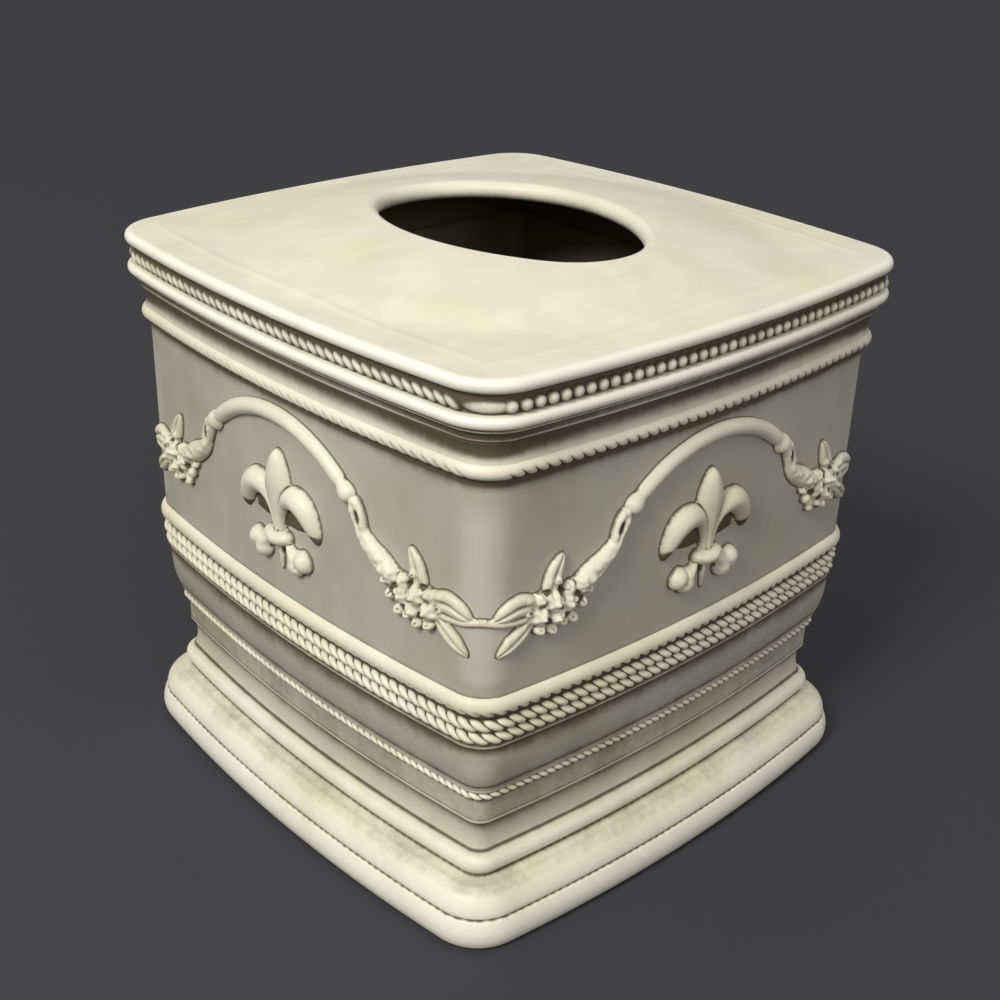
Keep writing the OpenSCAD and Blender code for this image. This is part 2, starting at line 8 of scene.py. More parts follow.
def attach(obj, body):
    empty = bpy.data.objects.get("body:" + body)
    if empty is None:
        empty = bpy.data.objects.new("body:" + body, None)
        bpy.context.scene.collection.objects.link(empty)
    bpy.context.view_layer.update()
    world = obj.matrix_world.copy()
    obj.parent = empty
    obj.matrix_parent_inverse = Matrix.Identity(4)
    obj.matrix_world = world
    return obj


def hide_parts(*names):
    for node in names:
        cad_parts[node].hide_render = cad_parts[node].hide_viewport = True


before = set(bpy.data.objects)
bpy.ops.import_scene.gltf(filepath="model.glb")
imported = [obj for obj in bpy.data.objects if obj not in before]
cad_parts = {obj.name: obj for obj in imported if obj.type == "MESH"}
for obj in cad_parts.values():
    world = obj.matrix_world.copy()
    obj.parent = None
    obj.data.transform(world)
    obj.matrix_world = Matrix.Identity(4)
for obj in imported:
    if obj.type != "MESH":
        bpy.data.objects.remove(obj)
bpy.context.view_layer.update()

# Dressing of the tissue box cover. Shapes are worked out in millimetres, in the frame of the CAD,
# and put into Blender in metres. The front is -Y and the right side +X.
MM = 0.001

# Plan of the cover: every course is concentric with the lip, whose half width is 76
BOW_BACK = 403.0
CORNER_C = 58.5
CORNER_FOOT = math.hypot(CORNER_C, CORNER_C + BOW_BACK) - BOW_BACK
BOW_ANGLE = math.atan2(CORNER_C, CORNER_C + BOW_BACK)
CORNER_ANGLE = math.pi / 2 - 2 * BOW_ANGLE
CAVITY_HALF = 59.0
CAVITY_R = 6.0
WALL_W = 71.2

# Heights that several pieces share
FOOT_Z = 0.8
SEAM_Z = 130.2
PLATE_TOP = 144.7
CROWN_RISE = 8.1
CROWN_FOOT_R = 69.0
CROWN_R = (CROWN_FOOT_R**2 + CROWN_RISE**2) / (2 * CROWN_RISE)
RIM_T = 4.8


def side_run(w):
    """Half the length of one side of the course at half width w."""
    return (BOW_BACK + w) * BOW_ANGLE


def quarter_run(w):
    """Length of a quarter of the course: one side and one corner."""
    return 2 * side_run(w) + (w - CORNER_FOOT) * CORNER_ANGLE


def compass(angle):
    """Directions in the plan by their angle."""
    return np.stack([np.cos(angle), np.sin(angle)], -1)


def place(w, s):
    """Points of the course at half width w, s along it from the middle of the right side, and the outward
    directions there. A side is an arc about a far centre and a corner an arc about a near one."""
    s = np.asarray(s, float)
    side, quarter = side_run(w), quarter_run(w)
    turn = np.floor((s + side) / quarter)
    along = s - turn * quarter
    on_side = along <= side
    angle = np.where(on_side, along / (BOW_BACK + w), BOW_ANGLE + (along - side) / (w - CORNER_FOOT))
    reach = np.where(on_side, BOW_BACK + w, w - CORNER_FOOT)
    cx = np.where(on_side, -BOW_BACK, CORNER_C)
    cy = np.where(on_side, 0.0, CORNER_C)
    x, y = cx + reach * np.cos(angle), cy + reach * np.sin(angle)
    q = turn * math.pi / 2
    c, d = np.cos(q), np.sin(q)
    return np.stack([c * x - d * y, d * x + c * y], -1), compass(angle + q)


def raised(w, s, z, out):
    """Points that stand out by out from the course at half width w, s along it and z high."""
    points, outward = place(w, s)
    return np.concatenate([points + out[..., None] * outward, z[..., None]], -1).reshape(-1, 3)


def stations(side_steps=24, corner_steps=14):
    """Stations round the plan by heading: base point and outward direction, so that base + w * direction is
    the outline at half width w. Also the matching points of the square space inside, and how far along the
    wall each station is from the middle of its side."""
    a = np.linspace(-BOW_ANGLE, BOW_ANGLE, side_steps + 1)[:-1]
    b = np.linspace(BOW_ANGLE, math.pi / 2 - BOW_ANGLE, corner_steps + 1)[:-1]
    heading = np.concatenate([a, b])
    out = compass(heading)
    on_side = np.arange(len(heading)) < len(a)
    base = np.where(on_side[:, None], BOW_BACK * out - [BOW_BACK, 0], CORNER_C - CORNER_FOOT * out)
    inner_c = CAVITY_HALF - CAVITY_R
    share = (heading[len(a):] - BOW_ANGLE) / CORNER_ANGLE * math.pi / 2
    inner = np.concatenate([
        np.stack([np.full(len(a), CAVITY_HALF), a / BOW_ANGLE * inner_c], -1),
        inner_c + CAVITY_R * compass(share),
    ])
    run = np.where(on_side, (BOW_BACK + WALL_W) * heading,
                   side_run(WALL_W) + (WALL_W - CORNER_FOOT) * (heading - BOW_ANGLE))
    reach = np.minimum(np.abs(run), quarter_run(WALL_W) - run)

    def four(points):
        """The points and their three quarter turns."""
        x, y = points.T
        return np.concatenate([points, np.stack([-y, x], -1), -points, np.stack([y, -x], -1)])

    return four(base), four(out), four(inner), np.tile(reach, 4)


def bow(p, q, bulge, n=24):
    """Points of an arc from p to q that stands out to the right of the way from p to q by bulge."""
    p, q = np.array(p, float), np.array(q, float)
    d = q - p
    length = np.hypot(*d)
    s = abs(bulge)
    r = (length**2 / 4 + s * s) / (2 * s)
    half = 2 * math.atan(2 * s / length)
    a = np.linspace(-half, half, n + 1)[:, None]
    out = np.array([d[1], -d[0]]) / length * math.copysign(1, bulge)
    return (p + q) / 2 + out * (r * np.cos(a) - r + s) + d / length * r * np.sin(a)


def blur(values, sigma):
    """Values averaged along their first axis with a bell of that many steps, the ends held."""
    reach = int(3 * sigma) + 1
    bell = np.exp(-0.5 * (np.arange(-reach, reach + 1) / sigma) ** 2)
    bell /= bell.sum()
    pad = [(reach, reach)] + [(0, 0)] * (values.ndim - 1)
    held = np.pad(values, pad, mode="edge")
    return sum(bell[k] * held[k:k + len(values)] for k in range(len(bell)))


def blur_both(values, sigma):
    """Values averaged along both axes of a grid."""
    return blur(blur(values, sigma).T, sigma).T


def fine_profile(parts, knots, step=0.12, soften=0.16, turn_step=7.0, long_step=6.0, hollow_reach=0.55,
                 hollow_depth=0.2):
    """A moulding's profile from stretches of points: resampled evenly, its corners eased by averaging, then
    thinned so that each kept point stands for a turn of turn_step degrees or long_step millimetres, with one
    at each height in knots, where the paint changes. Returns the points and how hollow (+) or proud (-) each
    is against its surroundings within hollow_reach, in shares of hollow_depth."""
    line = np.concatenate(parts)
    keep = np.concatenate([[True], np.hypot(*np.diff(line, axis=0).T) > 1e-4])
    line = line[keep]
    run = np.concatenate([[0], np.cumsum(np.hypot(*np.diff(line, axis=0).T))])
    n = int(run[-1] / step) + 1
    even = np.linspace(0, run[-1], n)
    fine = np.stack([np.interp(even, run, line[:, k]) for k in (0, 1)], -1)
    soft = blur(fine, soften / step)
    d = np.gradient(soft, axis=0)
    d /= np.hypot(*d.T)[:, None]
    out = np.stack([d[:, 1], -d[:, 0]], -1)
    hollow = ((blur(soft, hollow_reach / step) - soft) * out).sum(-1) / hollow_depth
    turning = np.abs(np.cross(d[:-1], d[1:]))
    measure = np.concatenate([[0], np.cumsum(np.degrees(turning) / turn_step + step / long_step)])
    crossed = np.diff(np.searchsorted(knots, soft[:, 1])) != 0
    kept = np.concatenate([[True], (np.diff(np.floor(measure)) > 0) | crossed])
    kept[-1] = True
    return soft[kept], np.clip(hollow[kept], -1, 0.8)


def ring_faces(rows, columns):
    """Four-cornered faces of a grid of points, row by row, whose columns close on themselves."""
    i = np.arange(rows - 1)[:, None] * columns
    k = np.arange(columns)[None, :]
    k2 = (k + 1) % columns
    return np.stack([i + k, i + k2, i + columns + k2, i + columns + k], -1).reshape(-1, 4)


def put(name, data):
    """A new object of the data, in the scene."""
    made = bpy.data.objects.new(name, data)
    bpy.context.scene.collection.objects.link(made)
    return made


def piece(name, points, faces, material, replaces, marks, triangles=None):
    """A mesh object of points in millimetres and faces of four, and some of three, corners. marks are numbers
    kept on the points for the finish to read."""
    mesh = bpy.data.meshes.new(name)
    triangles = np.zeros((0, 3), int) if triangles is None else triangles
    mesh.vertices.add(len(points))
    mesh.vertices.foreach_set("co", (points * MM).astype(np.float32).ravel())
    corners = np.concatenate([faces.ravel(), triangles.ravel()]).astype(np.int32)
    mesh.loops.add(len(corners))
    mesh.loops.foreach_set("vertex_index", corners)
    starts = np.concatenate([np.arange(len(faces)) * 4, len(faces) * 4 + np.arange(len(triangles)) * 3])
    mesh.polygons.add(len(starts))
    mesh.polygons.foreach_set("loop_start", starts.astype(np.int32))
    mesh.polygons.foreach_set("use_smooth", np.ones(len(starts), bool))
    for mark, values in marks.items():
        kept = mesh.attributes.new(mark, "FLOAT", "POINT")
        kept.data.foreach_set("value", np.asarray(values, np.float32).ravel())
    mesh.update(calc_edges=True)
    mesh.validate()
    mesh.materials.append(material)
    made = put(name, mesh)
    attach(made, "root")
    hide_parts(*replaces)


# Finishes


def new_material(name):
    """A material, its node tree and its shader."""
    made = bpy.data.materials.new(name)
    made.use_nodes = True
    return made, made.node_tree, made.node_tree.nodes["Principled BSDF"]


def node(tree, kind, **values):
    """A new node, with values for its inputs or its own settings."""
    made = tree.nodes.new(kind)
    for key, value in values.items():
        if key in made.inputs:
            made.inputs[key].default_value = value
        else:
            setattr(made, key, value)
    return made


def feed(tree, entry, value):
    """Gives an input a plain value or links another node's output to it."""
    if isinstance(value, bpy.types.NodeSocket):
        tree.links.new(value, entry)
    else:
        entry.default_value = value


def rgb(r, g, b):
    """A colour written as screen values from 0 to 255, as Blender's linear light."""
    v = np.array([r, g, b]) / 255
    lin = np.where(v <= 0.04045, v / 12.92, ((v + 0.055) / 1.055) ** 2.4)
    return (*[float(x) for x in lin], 1.0)


def mapped(tree, source, lo, hi, to_lo=0.0, to_hi=1.0, way="SMOOTHSTEP"):
    """The source value carried from lo..hi to to_lo..to_hi, and clamped."""
    m = node(tree, "ShaderNodeMapRange", interpolation_type=way)
    values = {"Value": source, "From Min": lo, "From Max": hi, "To Min": to_lo, "To Max": to_hi}
    for key, value in values.items():
        feed(tree, m.inputs[key], value)
    return m.outputs["Result"]


def math_of(tree, kind, a, b=0.0):
    """One step of arithmetic on two values, or on the first of them."""
    m = node(tree, "ShaderNodeMath", operation=kind)
    feed(tree, m.inputs[0], a)
    feed(tree, m.inputs[1], b)
    return m.outputs[0]


def mix(tree, share, a, b):
    """Colour a, and b by the given share."""
    m = node(tree, "ShaderNodeMix", data_type="RGBA")
    for at, value in ((0, share), (6, a), (7, b)):
        feed(tree, m.inputs[at], value)
    return m.outputs[2]


def noise(tree, where, scale, detail, roughness, stretch=None):
    """Cloudy noise on the coordinates, stretched where a share for each axis is given."""
    if stretch:
        m = node(tree, "ShaderNodeMapping", Scale=stretch)
        feed(tree, m.inputs["Vector"], where)
        where = m.outputs["Vector"]
    n = node(tree, "ShaderNodeTexNoise", Scale=scale, Detail=detail, Roughness=roughness)
    feed(tree, n.inputs["Vector"], where)
    return n.outputs["Fac"]


def aged_paint():
    """Group for paint that was brushed with a dark wash and wiped: clouds of a warmer stain, the wash with
    painted shade in the hollows, and rubbed paler edges with painted highlights."""
    g = bpy.data.node_groups.new("aged_paint", "ShaderNodeTree")
    for way, kind, names in (
            ("INPUT", "NodeSocketColor", ("Paint", "Stain", "Wash and shade", "Rubbed and highlight")),
            ("INPUT", "NodeSocketFloat", ("Hollow", "Staining", "Share of wash and shade")),
            ("OUTPUT", "NodeSocketColor", ("Colour",)),
            ("OUTPUT", "NodeSocketFloat", ("Roughness", "Grain"))):
        for name in names:
            g.interface.new_socket(name=name, in_out=way, socket_type=kind)
    given = g.nodes.new("NodeGroupInput").outputs
    result = g.nodes.new("NodeGroupOutput").inputs
    where = g.nodes.new("ShaderNodeTexCoord").outputs["Object"]
    clouds = noise(g, where, 26.0, 3.0, 0.5)
    streaks = noise(g, where, 60.0, 4.0, 0.6, (1.0, 1.0, 0.35))
    specks = noise(g, where, 420.0, 3.0, 0.6)
    fine = noise(g, where, 1500.0, 2.0, 0.5)
    # Stain and streaks all over
    stain = math_of(g, "MULTIPLY", mapped(g, clouds, 0.42, 0.68), given["Staining"])
    colour = mix(g, stain, given["Paint"], given["Stain"])
    colour = mix(g, mapped(g, streaks, 0.35, 0.65, 0.0, 0.10), colour, given["Wash and shade"])
    # Wash and painted shade in the hollows, and rubbed edges and painted highlights where the mark is
    # negative
    level = math_of(g, "ADD", given["Hollow"], mapped(g, specks, 0.3, 0.7, -0.05, 0.05))
    level = math_of(g, "ADD", level, mapped(g, streaks, 0.35, 0.65, -0.05, 0.05))
    wash = math_of(g, "MULTIPLY", mapped(g, level, 0.12, 0.95), given["Share of wash and shade"])
    colour = mix(g, mapped(g, level, -0.15, -0.75, 0.0, 0.75), colour, given["Rubbed and highlight"])
    feed(g, result["Colour"], mix(g, wash, colour, given["Wash and shade"]))
    dull = math_of(g, "MULTIPLY", wash, 0.22)
    feed(g, result["Roughness"], math_of(g, "ADD", mapped(g, streaks, 0.3, 0.7, 0.40, 0.52), dull))
    fine_grain = math_of(g, "MULTIPLY", fine, 0.3)
    feed(g, result["Grain"], math_of(g, "ADD", math_of(g, "MULTIPLY", specks, 0.7), fine_grain))
    return g


AGED = aged_paint()
# Refraction of cast resin, and length of a tooth of the dark lines along the wall
RESIN_IOR = 1.47
TOOTH = 2.3
# Colours: the wash, also laid on as painted shade, rubbed edges, also laid on as painted highlights, and each
# paint with its stain
WASH_AND_SHADE = rgb(72, 64, 37)
RUBBED_AND_HIGHLIGHT = rgb(250, 246, 230)
CREAM, CREAM_STAIN = rgb(238, 233, 211), rgb(226, 215, 172)
TOP_CREAM, TOP_STAIN = rgb(234, 230, 208), rgb(231, 221, 178)
RELIEF_CREAM, RELIEF_STAIN = rgb(232, 228, 205), rgb(216, 208, 172)
GREY = {"Paint": rgb(188, 184, 168), "Stain": rgb(171, 165, 143), "Rubbed and highlight": rgb(206, 202, 188)}


def mark_of(tree, name):
    """The value of a mark on the piece's points."""
    return node(tree, "ShaderNodeAttribute", attribute_name=name).outputs["Fac"]


def painted(name, paint, stain, washing, staining, second=None):
    """A painted finish. The mark called hollow lays on the wash and painted shade, and where it is negative
    the rubbed paler paint and painted highlights. second gives paint, stain and rubbed colours where the
    piece's mark called grey is 1, and the dark lines of such a piece are toothed along the wall by the mark
    called teeth. staining is a number or the name of a mark."""
    made, t, shader = new_material(name)
    shader.inputs["IOR"].default_value = RESIN_IOR
    hollow = mark_of(t, "hollow")
    g = node(t, "ShaderNodeGroup", node_tree=AGED)
    colours = {"Paint": paint, "Stain": stain, "Rubbed and highlight": RUBBED_AND_HIGHLIGHT}
    if second:
        grey = mark_of(t, "grey")
        colours = {key: mix(t, grey, value, second[key]) for key, value in colours.items()}
        wave = math_of(t, "SINE", math_of(t, "MULTIPLY", mark_of(t, "reach"), 2 * math.pi / TOOTH))
        hollow = math_of(t, "ADD", hollow, math_of(t, "MULTIPLY", wave, mark_of(t, "teeth")))
    staining = mark_of(t, staining) if isinstance(staining, str) else staining
    bump = node(t, "ShaderNodeBump", Strength=0.25, Distance=0.00012)
    inputs = {**colours, "Wash and shade": WASH_AND_SHADE, "Share of wash and shade": washing, "Staining": staining, "Hollow": hollow}
    for key, value in inputs.items():
        feed(t, g.inputs[key], value)
    feed(t, bump.inputs["Height"], g.outputs["Grain"])
    feed(t, shader.inputs["Normal"], bump.outputs["Normal"])
    feed(t, shader.inputs["Base Color"], g.outputs["Colour"])
    feed(t, shader.inputs["Roughness"], g.outputs["Roughness"])
    return made


def felt_finish():
    """Dark, tufted felt."""
    made, t, shader = new_material("pad_felt")
    where = t.nodes.new("ShaderNodeTexCoord").outputs["Object"]
    tufts = noise(t, where, 900.0, 4.0, 0.7)
    bump = node(t, "ShaderNodeBump", Strength=0.6, Distance=0.0003)
    feed(t, shader.inputs["Base Color"], mix(t, mapped(t, tufts, 0.3, 0.7), rgb(52, 47, 40), rgb(84, 77, 66)))
    feed(t, shader.inputs["Roughness"], 0.95)
    feed(t, bump.inputs["Height"], tufts)
    feed(t, shader.inputs["Normal"], bump.outputs["Normal"])
    return made


body_paint = painted("body_paint", CREAM, CREAM_STAIN, 0.92, 0.45, GREY)
top_paint = painted("top_paint", TOP_CREAM, TOP_STAIN, 0.92, "stain", GREY)
rope_paint = painted("rope_paint", CREAM, CREAM_STAIN, 0.95, 0.4)
relief_paint = painted("relief_paint", RELIEF_CREAM, RELIEF_STAIN, 0.95, 0.5)

felt = felt_finish()
for name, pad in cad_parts.items():
    if name.startswith("pad_"):
        pad.data.materials.clear()
        pad.data.materials.append(felt)

# Castings

BASE, OUT, INNER, REACH = stations()
N_RING = len(BASE)
CORNER_REACH = quarter_run(WALL_W) / 2

# Lower casting, from the foot up: half width and height
FOOT = [
    [[73.6, FOOT_Z], [75.2, FOOT_Z]],
    bow([75.4, FOOT_Z + 0.1], [75.3, 8.5], 1.0),
    [[74.5, 8.9]],
    bow([75.0, 9.3], [71.5, 15.1], 0.95),
    [[71.1, 15.4]],
    bow([70.8, 15.5], [67.5, 16.3], -0.3),
    bow([67.2, 16.6], [66.8, 22.0], 1.9),
    [[66.2, 22.3]],
    bow([66.1, 22.6], [65.9, 30.5], -0.7),
    [[66.8, 30.8], [66.9, 31.6], [66.7, 31.8], [66.8, 32.0], [66.8, 37.9]],
    [[66.9, 38.1], [66.9, 40.2], [68.1, 40.4], [68.3, 41.2], [68.1, 41.4], [68.5, 41.6], [68.7, 42.2]],
    [[68.4, 42.4]],
]
WALL = [
    bow([68.9, 42.6], [70.6, 54.5], 0.7),
    [[70.9, 54.8], [71.0, 55.2], [70.3, 55.5], [70.4, 62.9], [71.2, 63.3], [71.2, 122.5], [71.2, 124.7]],
    bow([72.4, 124.8], [72.7, 130.0], -0.55),
    [[72.7, SEAM_Z - 0.05], [72.0, SEAM_Z]],
]
# Paint of the lower casting: height, dark wash, teeth of its edge and share of grey. The wash column is also
# painted shade: the band under the neck roll, the cove under the lip, the scotia under the fillet and the top
# of the dado under the band. Its negative values, on the rolls, are rubbed paler paint and painted
# highlights.
LOWER_PAINT = np.array([
    [0.8, 0.5, 0, 0], [1.6, 0.05, 0, 0], [3, -0.7, 0, 0], [7.8, -0.5, 0, 0], [8.5, 0.1, 0.1, 0],
    [8.75, 0.85, 0.14, 0], [9, 0.85, 0.14, 0], [9.35, 0.1, 0.14, 0], [10.2, -0.5, 0, 0], [12.4, -0.4, 0, 0],
    [13.4, 0.14, 0, 0], [14.4, 0.34, 0, 0], [16, 0.4, 0, 0], [16.2, 0.9, 0.1, 0], [16.5, 0.9, 0.15, 0],
    [16.8, 0.1, 0.15, 0], [17.6, -0.2, 0, 0], [19, -0.5, 0, 0], [21.2, -0.4, 0, 0.1], [22, 0.3, 0, 0.3],
    [22.3, 1, 0, 0.5], [22.6, 0.8, 0, 0.6], [23, 0.05, 0, 0.6], [26, 0.1, 0, 0.65], [28, 0.4, 0, 0.75],
    [29.6, 0.75, 0, 0.85], [30.7, 1, 0, 0.9], [31, 0.3, 0, 0.4], [31.5, 0.25, 0, 0.4], [31.75, 0.8, 0, 0.6],
    [32.1, 0.42, 0, 0.6], [36.8, 0.46, 0, 0.6], [37.6, 0.75, 0.1, 0.9], [38, 1, 0.1, 0.9],
    [40.3, 0.95, 0, 0.8], [40.6, 0.3, 0, 0.6], [41.2, 0.3, 0, 0.6], [41.4, 0.8, 0, 0.8],
    [41.65, 0.35, 0, 0.6], [42.1, 0.4, 0, 0.7], [42.4, 1, 0, 1], [42.9, 0.75, 0, 1], [44, 0.4, 0, 1],
    [46, 0.14, 0, 1], [49, 0.16, 0, 1], [51.6, 0.45, 0, 1], [53.4, 0.75, 0, 1], [54.6, 0.95, 0, 1],
    [54.9, 0.5, 0, 0.6], [55.2, 0.5, 0, 0.6], [55.45, 1, 0, 0.6], [63.2, 1, 0, 0.6], [68.3, 0.8, 0, 1],
    [68.8, 0.45, 0, 1], [69.9, 0.12, 0, 1], [73, 0, 0, 1], [115.4, 0, 0, 1], [117.8, 0.22, 0, 1],
    [119.2, 0.5, 0, 1], [120.1, 0.95, 0, 1], [121.6, 1, 0, 1], [122.6, 1, 0, 0.5], [124.9, 0.15, 0, 0.3],
    [125.9, 0.22, 0, 0.5], [127.2, 0.55, 0, 0.7], [128.6, 0.85, 0, 0.9], [129.8, 0.98, 0, 0.9],
    [130.2, 1, 0, 0.9],
])
LOWER, LOWER_HOLLOW = fine_profile(FOOT + WALL, LOWER_PAINT[:, 0])
# Painted sheen and shade at the corners: heights and the share at each, amount, and reach along the wall
CORNER_SHEEN_AND_SHADE = (
    ([43, 46, 51, 54, 69, 73, 113, 119], [0, 1, 1, 0, 0, 1, 1, 0], -0.62, 8.0),
    ([125.5, 127, 131.5, 132.6], [0, 1, 1, 0], 0.35, 14.0),
)
# Between these, the paint table has so little wash, painted shade and highlight that the form alone decides
LEAST_RUBBED_AND_HIGHLIGHT, LEAST_WASH_AND_SHADE = -0.05, 0.08
# Painted shade on the inside
INSIDE_SHADE = 1.3


def ring_marks(profile, hollow, paint, wash_inside):
    """The marks of a casting's points: its profile's paint by height, then the painted shade of each ring
    inside. At the corners the grey of the frieze and the dado is painted paler as a sheen, and the cove under
    the lip is painted darker as shade."""
    z = profile[:, 1]
    none = np.zeros(len(wash_inside))
    wash, teeth, grey = (np.interp(z, paint[:, 0], paint[:, k]) for k in (1, 2, 3))
    rubbed_highlight_or_form = np.where(wash < LEAST_RUBBED_AND_HIGHLIGHT, wash, hollow)
    wash = np.where(wash > LEAST_WASH_AND_SHADE, np.maximum(hollow, wash), rubbed_highlight_or_form)
    washes = np.concatenate([wash, wash_inside])[:, None]
    for heights, shares, amount, reach in CORNER_SHEEN_AND_SHADE:
        here = np.concatenate([amount * np.interp(z, heights, shares), none])[:, None]
        washes = washes + here * np.exp(-(((REACH - CORNER_REACH) / reach) ** 2))
    return {
        "hollow": washes.ravel(),
        "teeth": np.repeat(np.concatenate([teeth, none]), N_RING),
        "grey": np.repeat(np.concatenate([grey, none]), N_RING),
        "reach": np.tile(REACH, len(z) + len(none)),
    }


def rings_of(plan, heights):
    """Rings of points from their places in the plan and their heights."""
    return np.concatenate([plan, np.broadcast_to(heights, plan.shape[:2])[..., None]], -1)


def sweep(profile):
    """The profile's half widths and heights carried round all stations."""
    return rings_of(BASE[None] + profile[:, 0][:, None, None] * OUT[None], profile[:, 1:])


def loop_faces(rings):
    """Faces of rings that close on themselves, the last ring on the first."""
    return ring_faces(len(rings) + 1, N_RING) % (len(rings) * N_RING)


# Inside of the lower casting, from the seam down: height, and how far out of the square space
INSIDE = np.array([
    [SEAM_Z, 0.8], [SEAM_Z - 1.0, 0], [90.0, 0], [50.0, 0], [FOOT_Z + 0.6, 0], [FOOT_Z, 0.6],
])
INNER_OUT = INNER / np.hypot(*INNER.T)[:, None]
inside = rings_of(INNER[None] + INSIDE[:, 1][:, None, None] * INNER_OUT[None], INSIDE[:, :1])
rings = np.concatenate([sweep(LOWER), inside])
piece("body_casting", rings.reshape(-1, 3), loop_faces(rings), body_paint, ["body_shell"],
      ring_marks(LOWER, LOWER_HOLLOW, LOWER_PAINT, np.full(len(inside), INSIDE_SHADE)))

# Upper casting: seam strip, soffit, lip roll, bead groove and the plate's rounded edge
LIP = [
    [[72.0, SEAM_Z + 0.05], [72.7, SEAM_Z + 0.1], [73.0, SEAM_Z + 0.3], [73.0, 131.1]],
    bow([73.1, 131.3], [73.8, 132.6], -0.3),
    [[73.9, 132.8], [74.3, 132.9], [74.3, 133.2], [73.9, 133.4]],
    bow([74.6, 133.75], [74.6, 136.75], 1.3),
    [[74.0, 136.95], [73.9, 137.1], [73.9, 141.1]],
    bow([74.5, 141.45], [74.1, PLATE_TOP], 1.7),
]
# Paint of the upper casting, as above: wash with painted shade in the soffit and the bead groove, and rubbed
# paint with painted highlights on the lip roll and the plate's rounded edge
UPPER_PAINT = np.array([
    [130.2, 1, 0, 0.6], [130.45, 1, 0, 0.6], [130.65, 0.25, 0, 0.4], [130.9, 0.3, 0, 0.5],
    [131.2, 0.7, 0, 0.7], [132.4, 0.78, 0, 0.7], [132.65, 1, 0, 0.6], [132.9, 0.4, 0, 0.3],
    [133.15, 0.45, 0, 0.3], [133.4, 1, 0, 0.3], [133.75, 0.6, 0, 0], [134, -0.1, 0, 0], [134.4, -0.7, 0, 0],
    [136.4, -0.7, 0, 0], [136.8, 0.3, 0, 0], [137.05, 1, 0, 0], [141.15, 1, 0, 0], [141.4, 0.5, 0, 0],
    [141.7, -0.2, 0, 0], [142.4, -0.6, 0, 0], [144.4, -0.6, 0, 0], [145.5, 0, 0, 0], [151, 0, 0, 0],
])
UPPER, UPPER_HOLLOW = fine_profile(LIP, UPPER_PAINT[:, 0])
# Faint raised line on the top: half width, height and spread
RIDGE_W, RIDGE_H, RIDGE_SPREAD = 66.0, 0.16, 0.9
# Height within which the angle at the dome's foot is eased
CROWN_EASE = 0.7
# Thickness of the cap under the crown
CAP_T = 5.6
# Opening, of two end arcs and two flank arcs: distance of their centres from the middle, and radius
END_C, END_R = 16.5, 22.0
FLANK_C, FLANK_R = 19.6875, 47.6875
FLANK_TURN = math.pi / 2 - math.atan2(END_C, FLANK_C)
# Rings of the opening's rim that stay free of painted shade
PALE_RINGS = 9


def crown(plan):
    """Height of the top: a dome on the flat plate, the angle at its foot eased, with a faint raised line
    10 millimetres in from the edge."""
    x, y = plan[..., 0], plan[..., 1]
    dome = np.sqrt(CROWN_R**2 - (x * x + y * y)) - (CROWN_R - CROWN_RISE)
    k = CROWN_EASE
    eased = np.where(dome > k, dome, np.where(dome < -k, 0.0, (dome + k) ** 2 / (4 * k)))
    half = np.maximum(np.hypot(np.abs(x) + BOW_BACK, y), np.hypot(np.abs(y) + BOW_BACK, x)) - BOW_BACK
    return PLATE_TOP + eased + RIDGE_H * np.exp(-(((half - RIDGE_W) / RIDGE_SPREAD) ** 2))


def oval(heading, grow):
    """Outline of the opening by its outward heading, moved outwards by grow: end arcs and flank arcs."""
    c, s = np.cos(heading), np.sin(heading)
    end = np.abs(np.arctan2(np.abs(s), np.abs(c))) < FLANK_TURN
    cx = np.where(end, np.sign(c) * END_C, 0.0)
    cy = np.where(end, 0.0, -np.sign(s) * FLANK_C)
    r = np.where(end, END_R, FLANK_R) + grow
    return np.stack([cx + r * c, cy + r * s], -1)


def facing(w=74.0, n=1441):
    """The oval's headings that face the stations at half width w."""
    head = np.linspace(-math.pi, math.pi, n)
    around = oval(head, 0.0)
    bearing = np.unwrap(np.arctan2(around[:, 1], around[:, 0]))
    edge = BASE + w * OUT
    return np.interp(np.arctan2(edge[:, 1], edge[:, 0]), bearing, head)


def between(first, last, shares):
    """Outlines from first to last at the given shares of the way."""
    shares = shares[:, None, None]
    return first[None] * (1 - shares) + last[None] * shares


HEAD = facing()
plate_edge = sweep(UPPER)
# From the plate's edge over the crown to the rim, closer together at the raised line
shares = np.concatenate([np.linspace(0, 0.36, 28), np.linspace(0.36, 1, 24)[1:]])[1:]
top_xy = between(plate_edge[-1, :, :2], oval(HEAD, RIM_T * 0.75), shares)
# Rim: rounded over from the crown into the opening
roll = np.radians(np.linspace(70, 270, 20))
rim_xy = np.stack([oval(HEAD, grow) for grow in RIM_T / 2 + RIM_T / 2 * np.cos(roll)])
rim_z = crown(oval(HEAD, RIM_T / 2))[None] - RIM_T / 2 + RIM_T / 2 * np.sin(roll)[:, None]
# Underside of the cap, and its foot on the lower casting
low_xy = between(rim_xy[-1], INNER, np.linspace(0, 1, 8)[1:])
foot_xy = np.stack([INNER, INNER + 0.6 * INNER_OUT])
foot_z = np.array([[SEAM_Z + 0.8], [SEAM_Z + 0.05]])
cap_rings = np.concatenate([
    plate_edge,
    rings_of(top_xy, crown(top_xy)),
    rings_of(rim_xy, rim_z),
    rings_of(low_xy, crown(low_xy) - CAP_T),
    rings_of(foot_xy, foot_z),
])
# Painted shade: none on the top, darker down the rim into the opening, and all over the inside
cap_wash = np.concatenate([
    np.zeros(len(top_xy) + PALE_RINGS),
    np.linspace(0, 1.2, len(roll) - PALE_RINGS),
    np.full(len(low_xy) + len(foot_xy), INSIDE_SHADE),
])
cap_marks = ring_marks(UPPER, UPPER_HOLLOW, UPPER_PAINT, cap_wash)
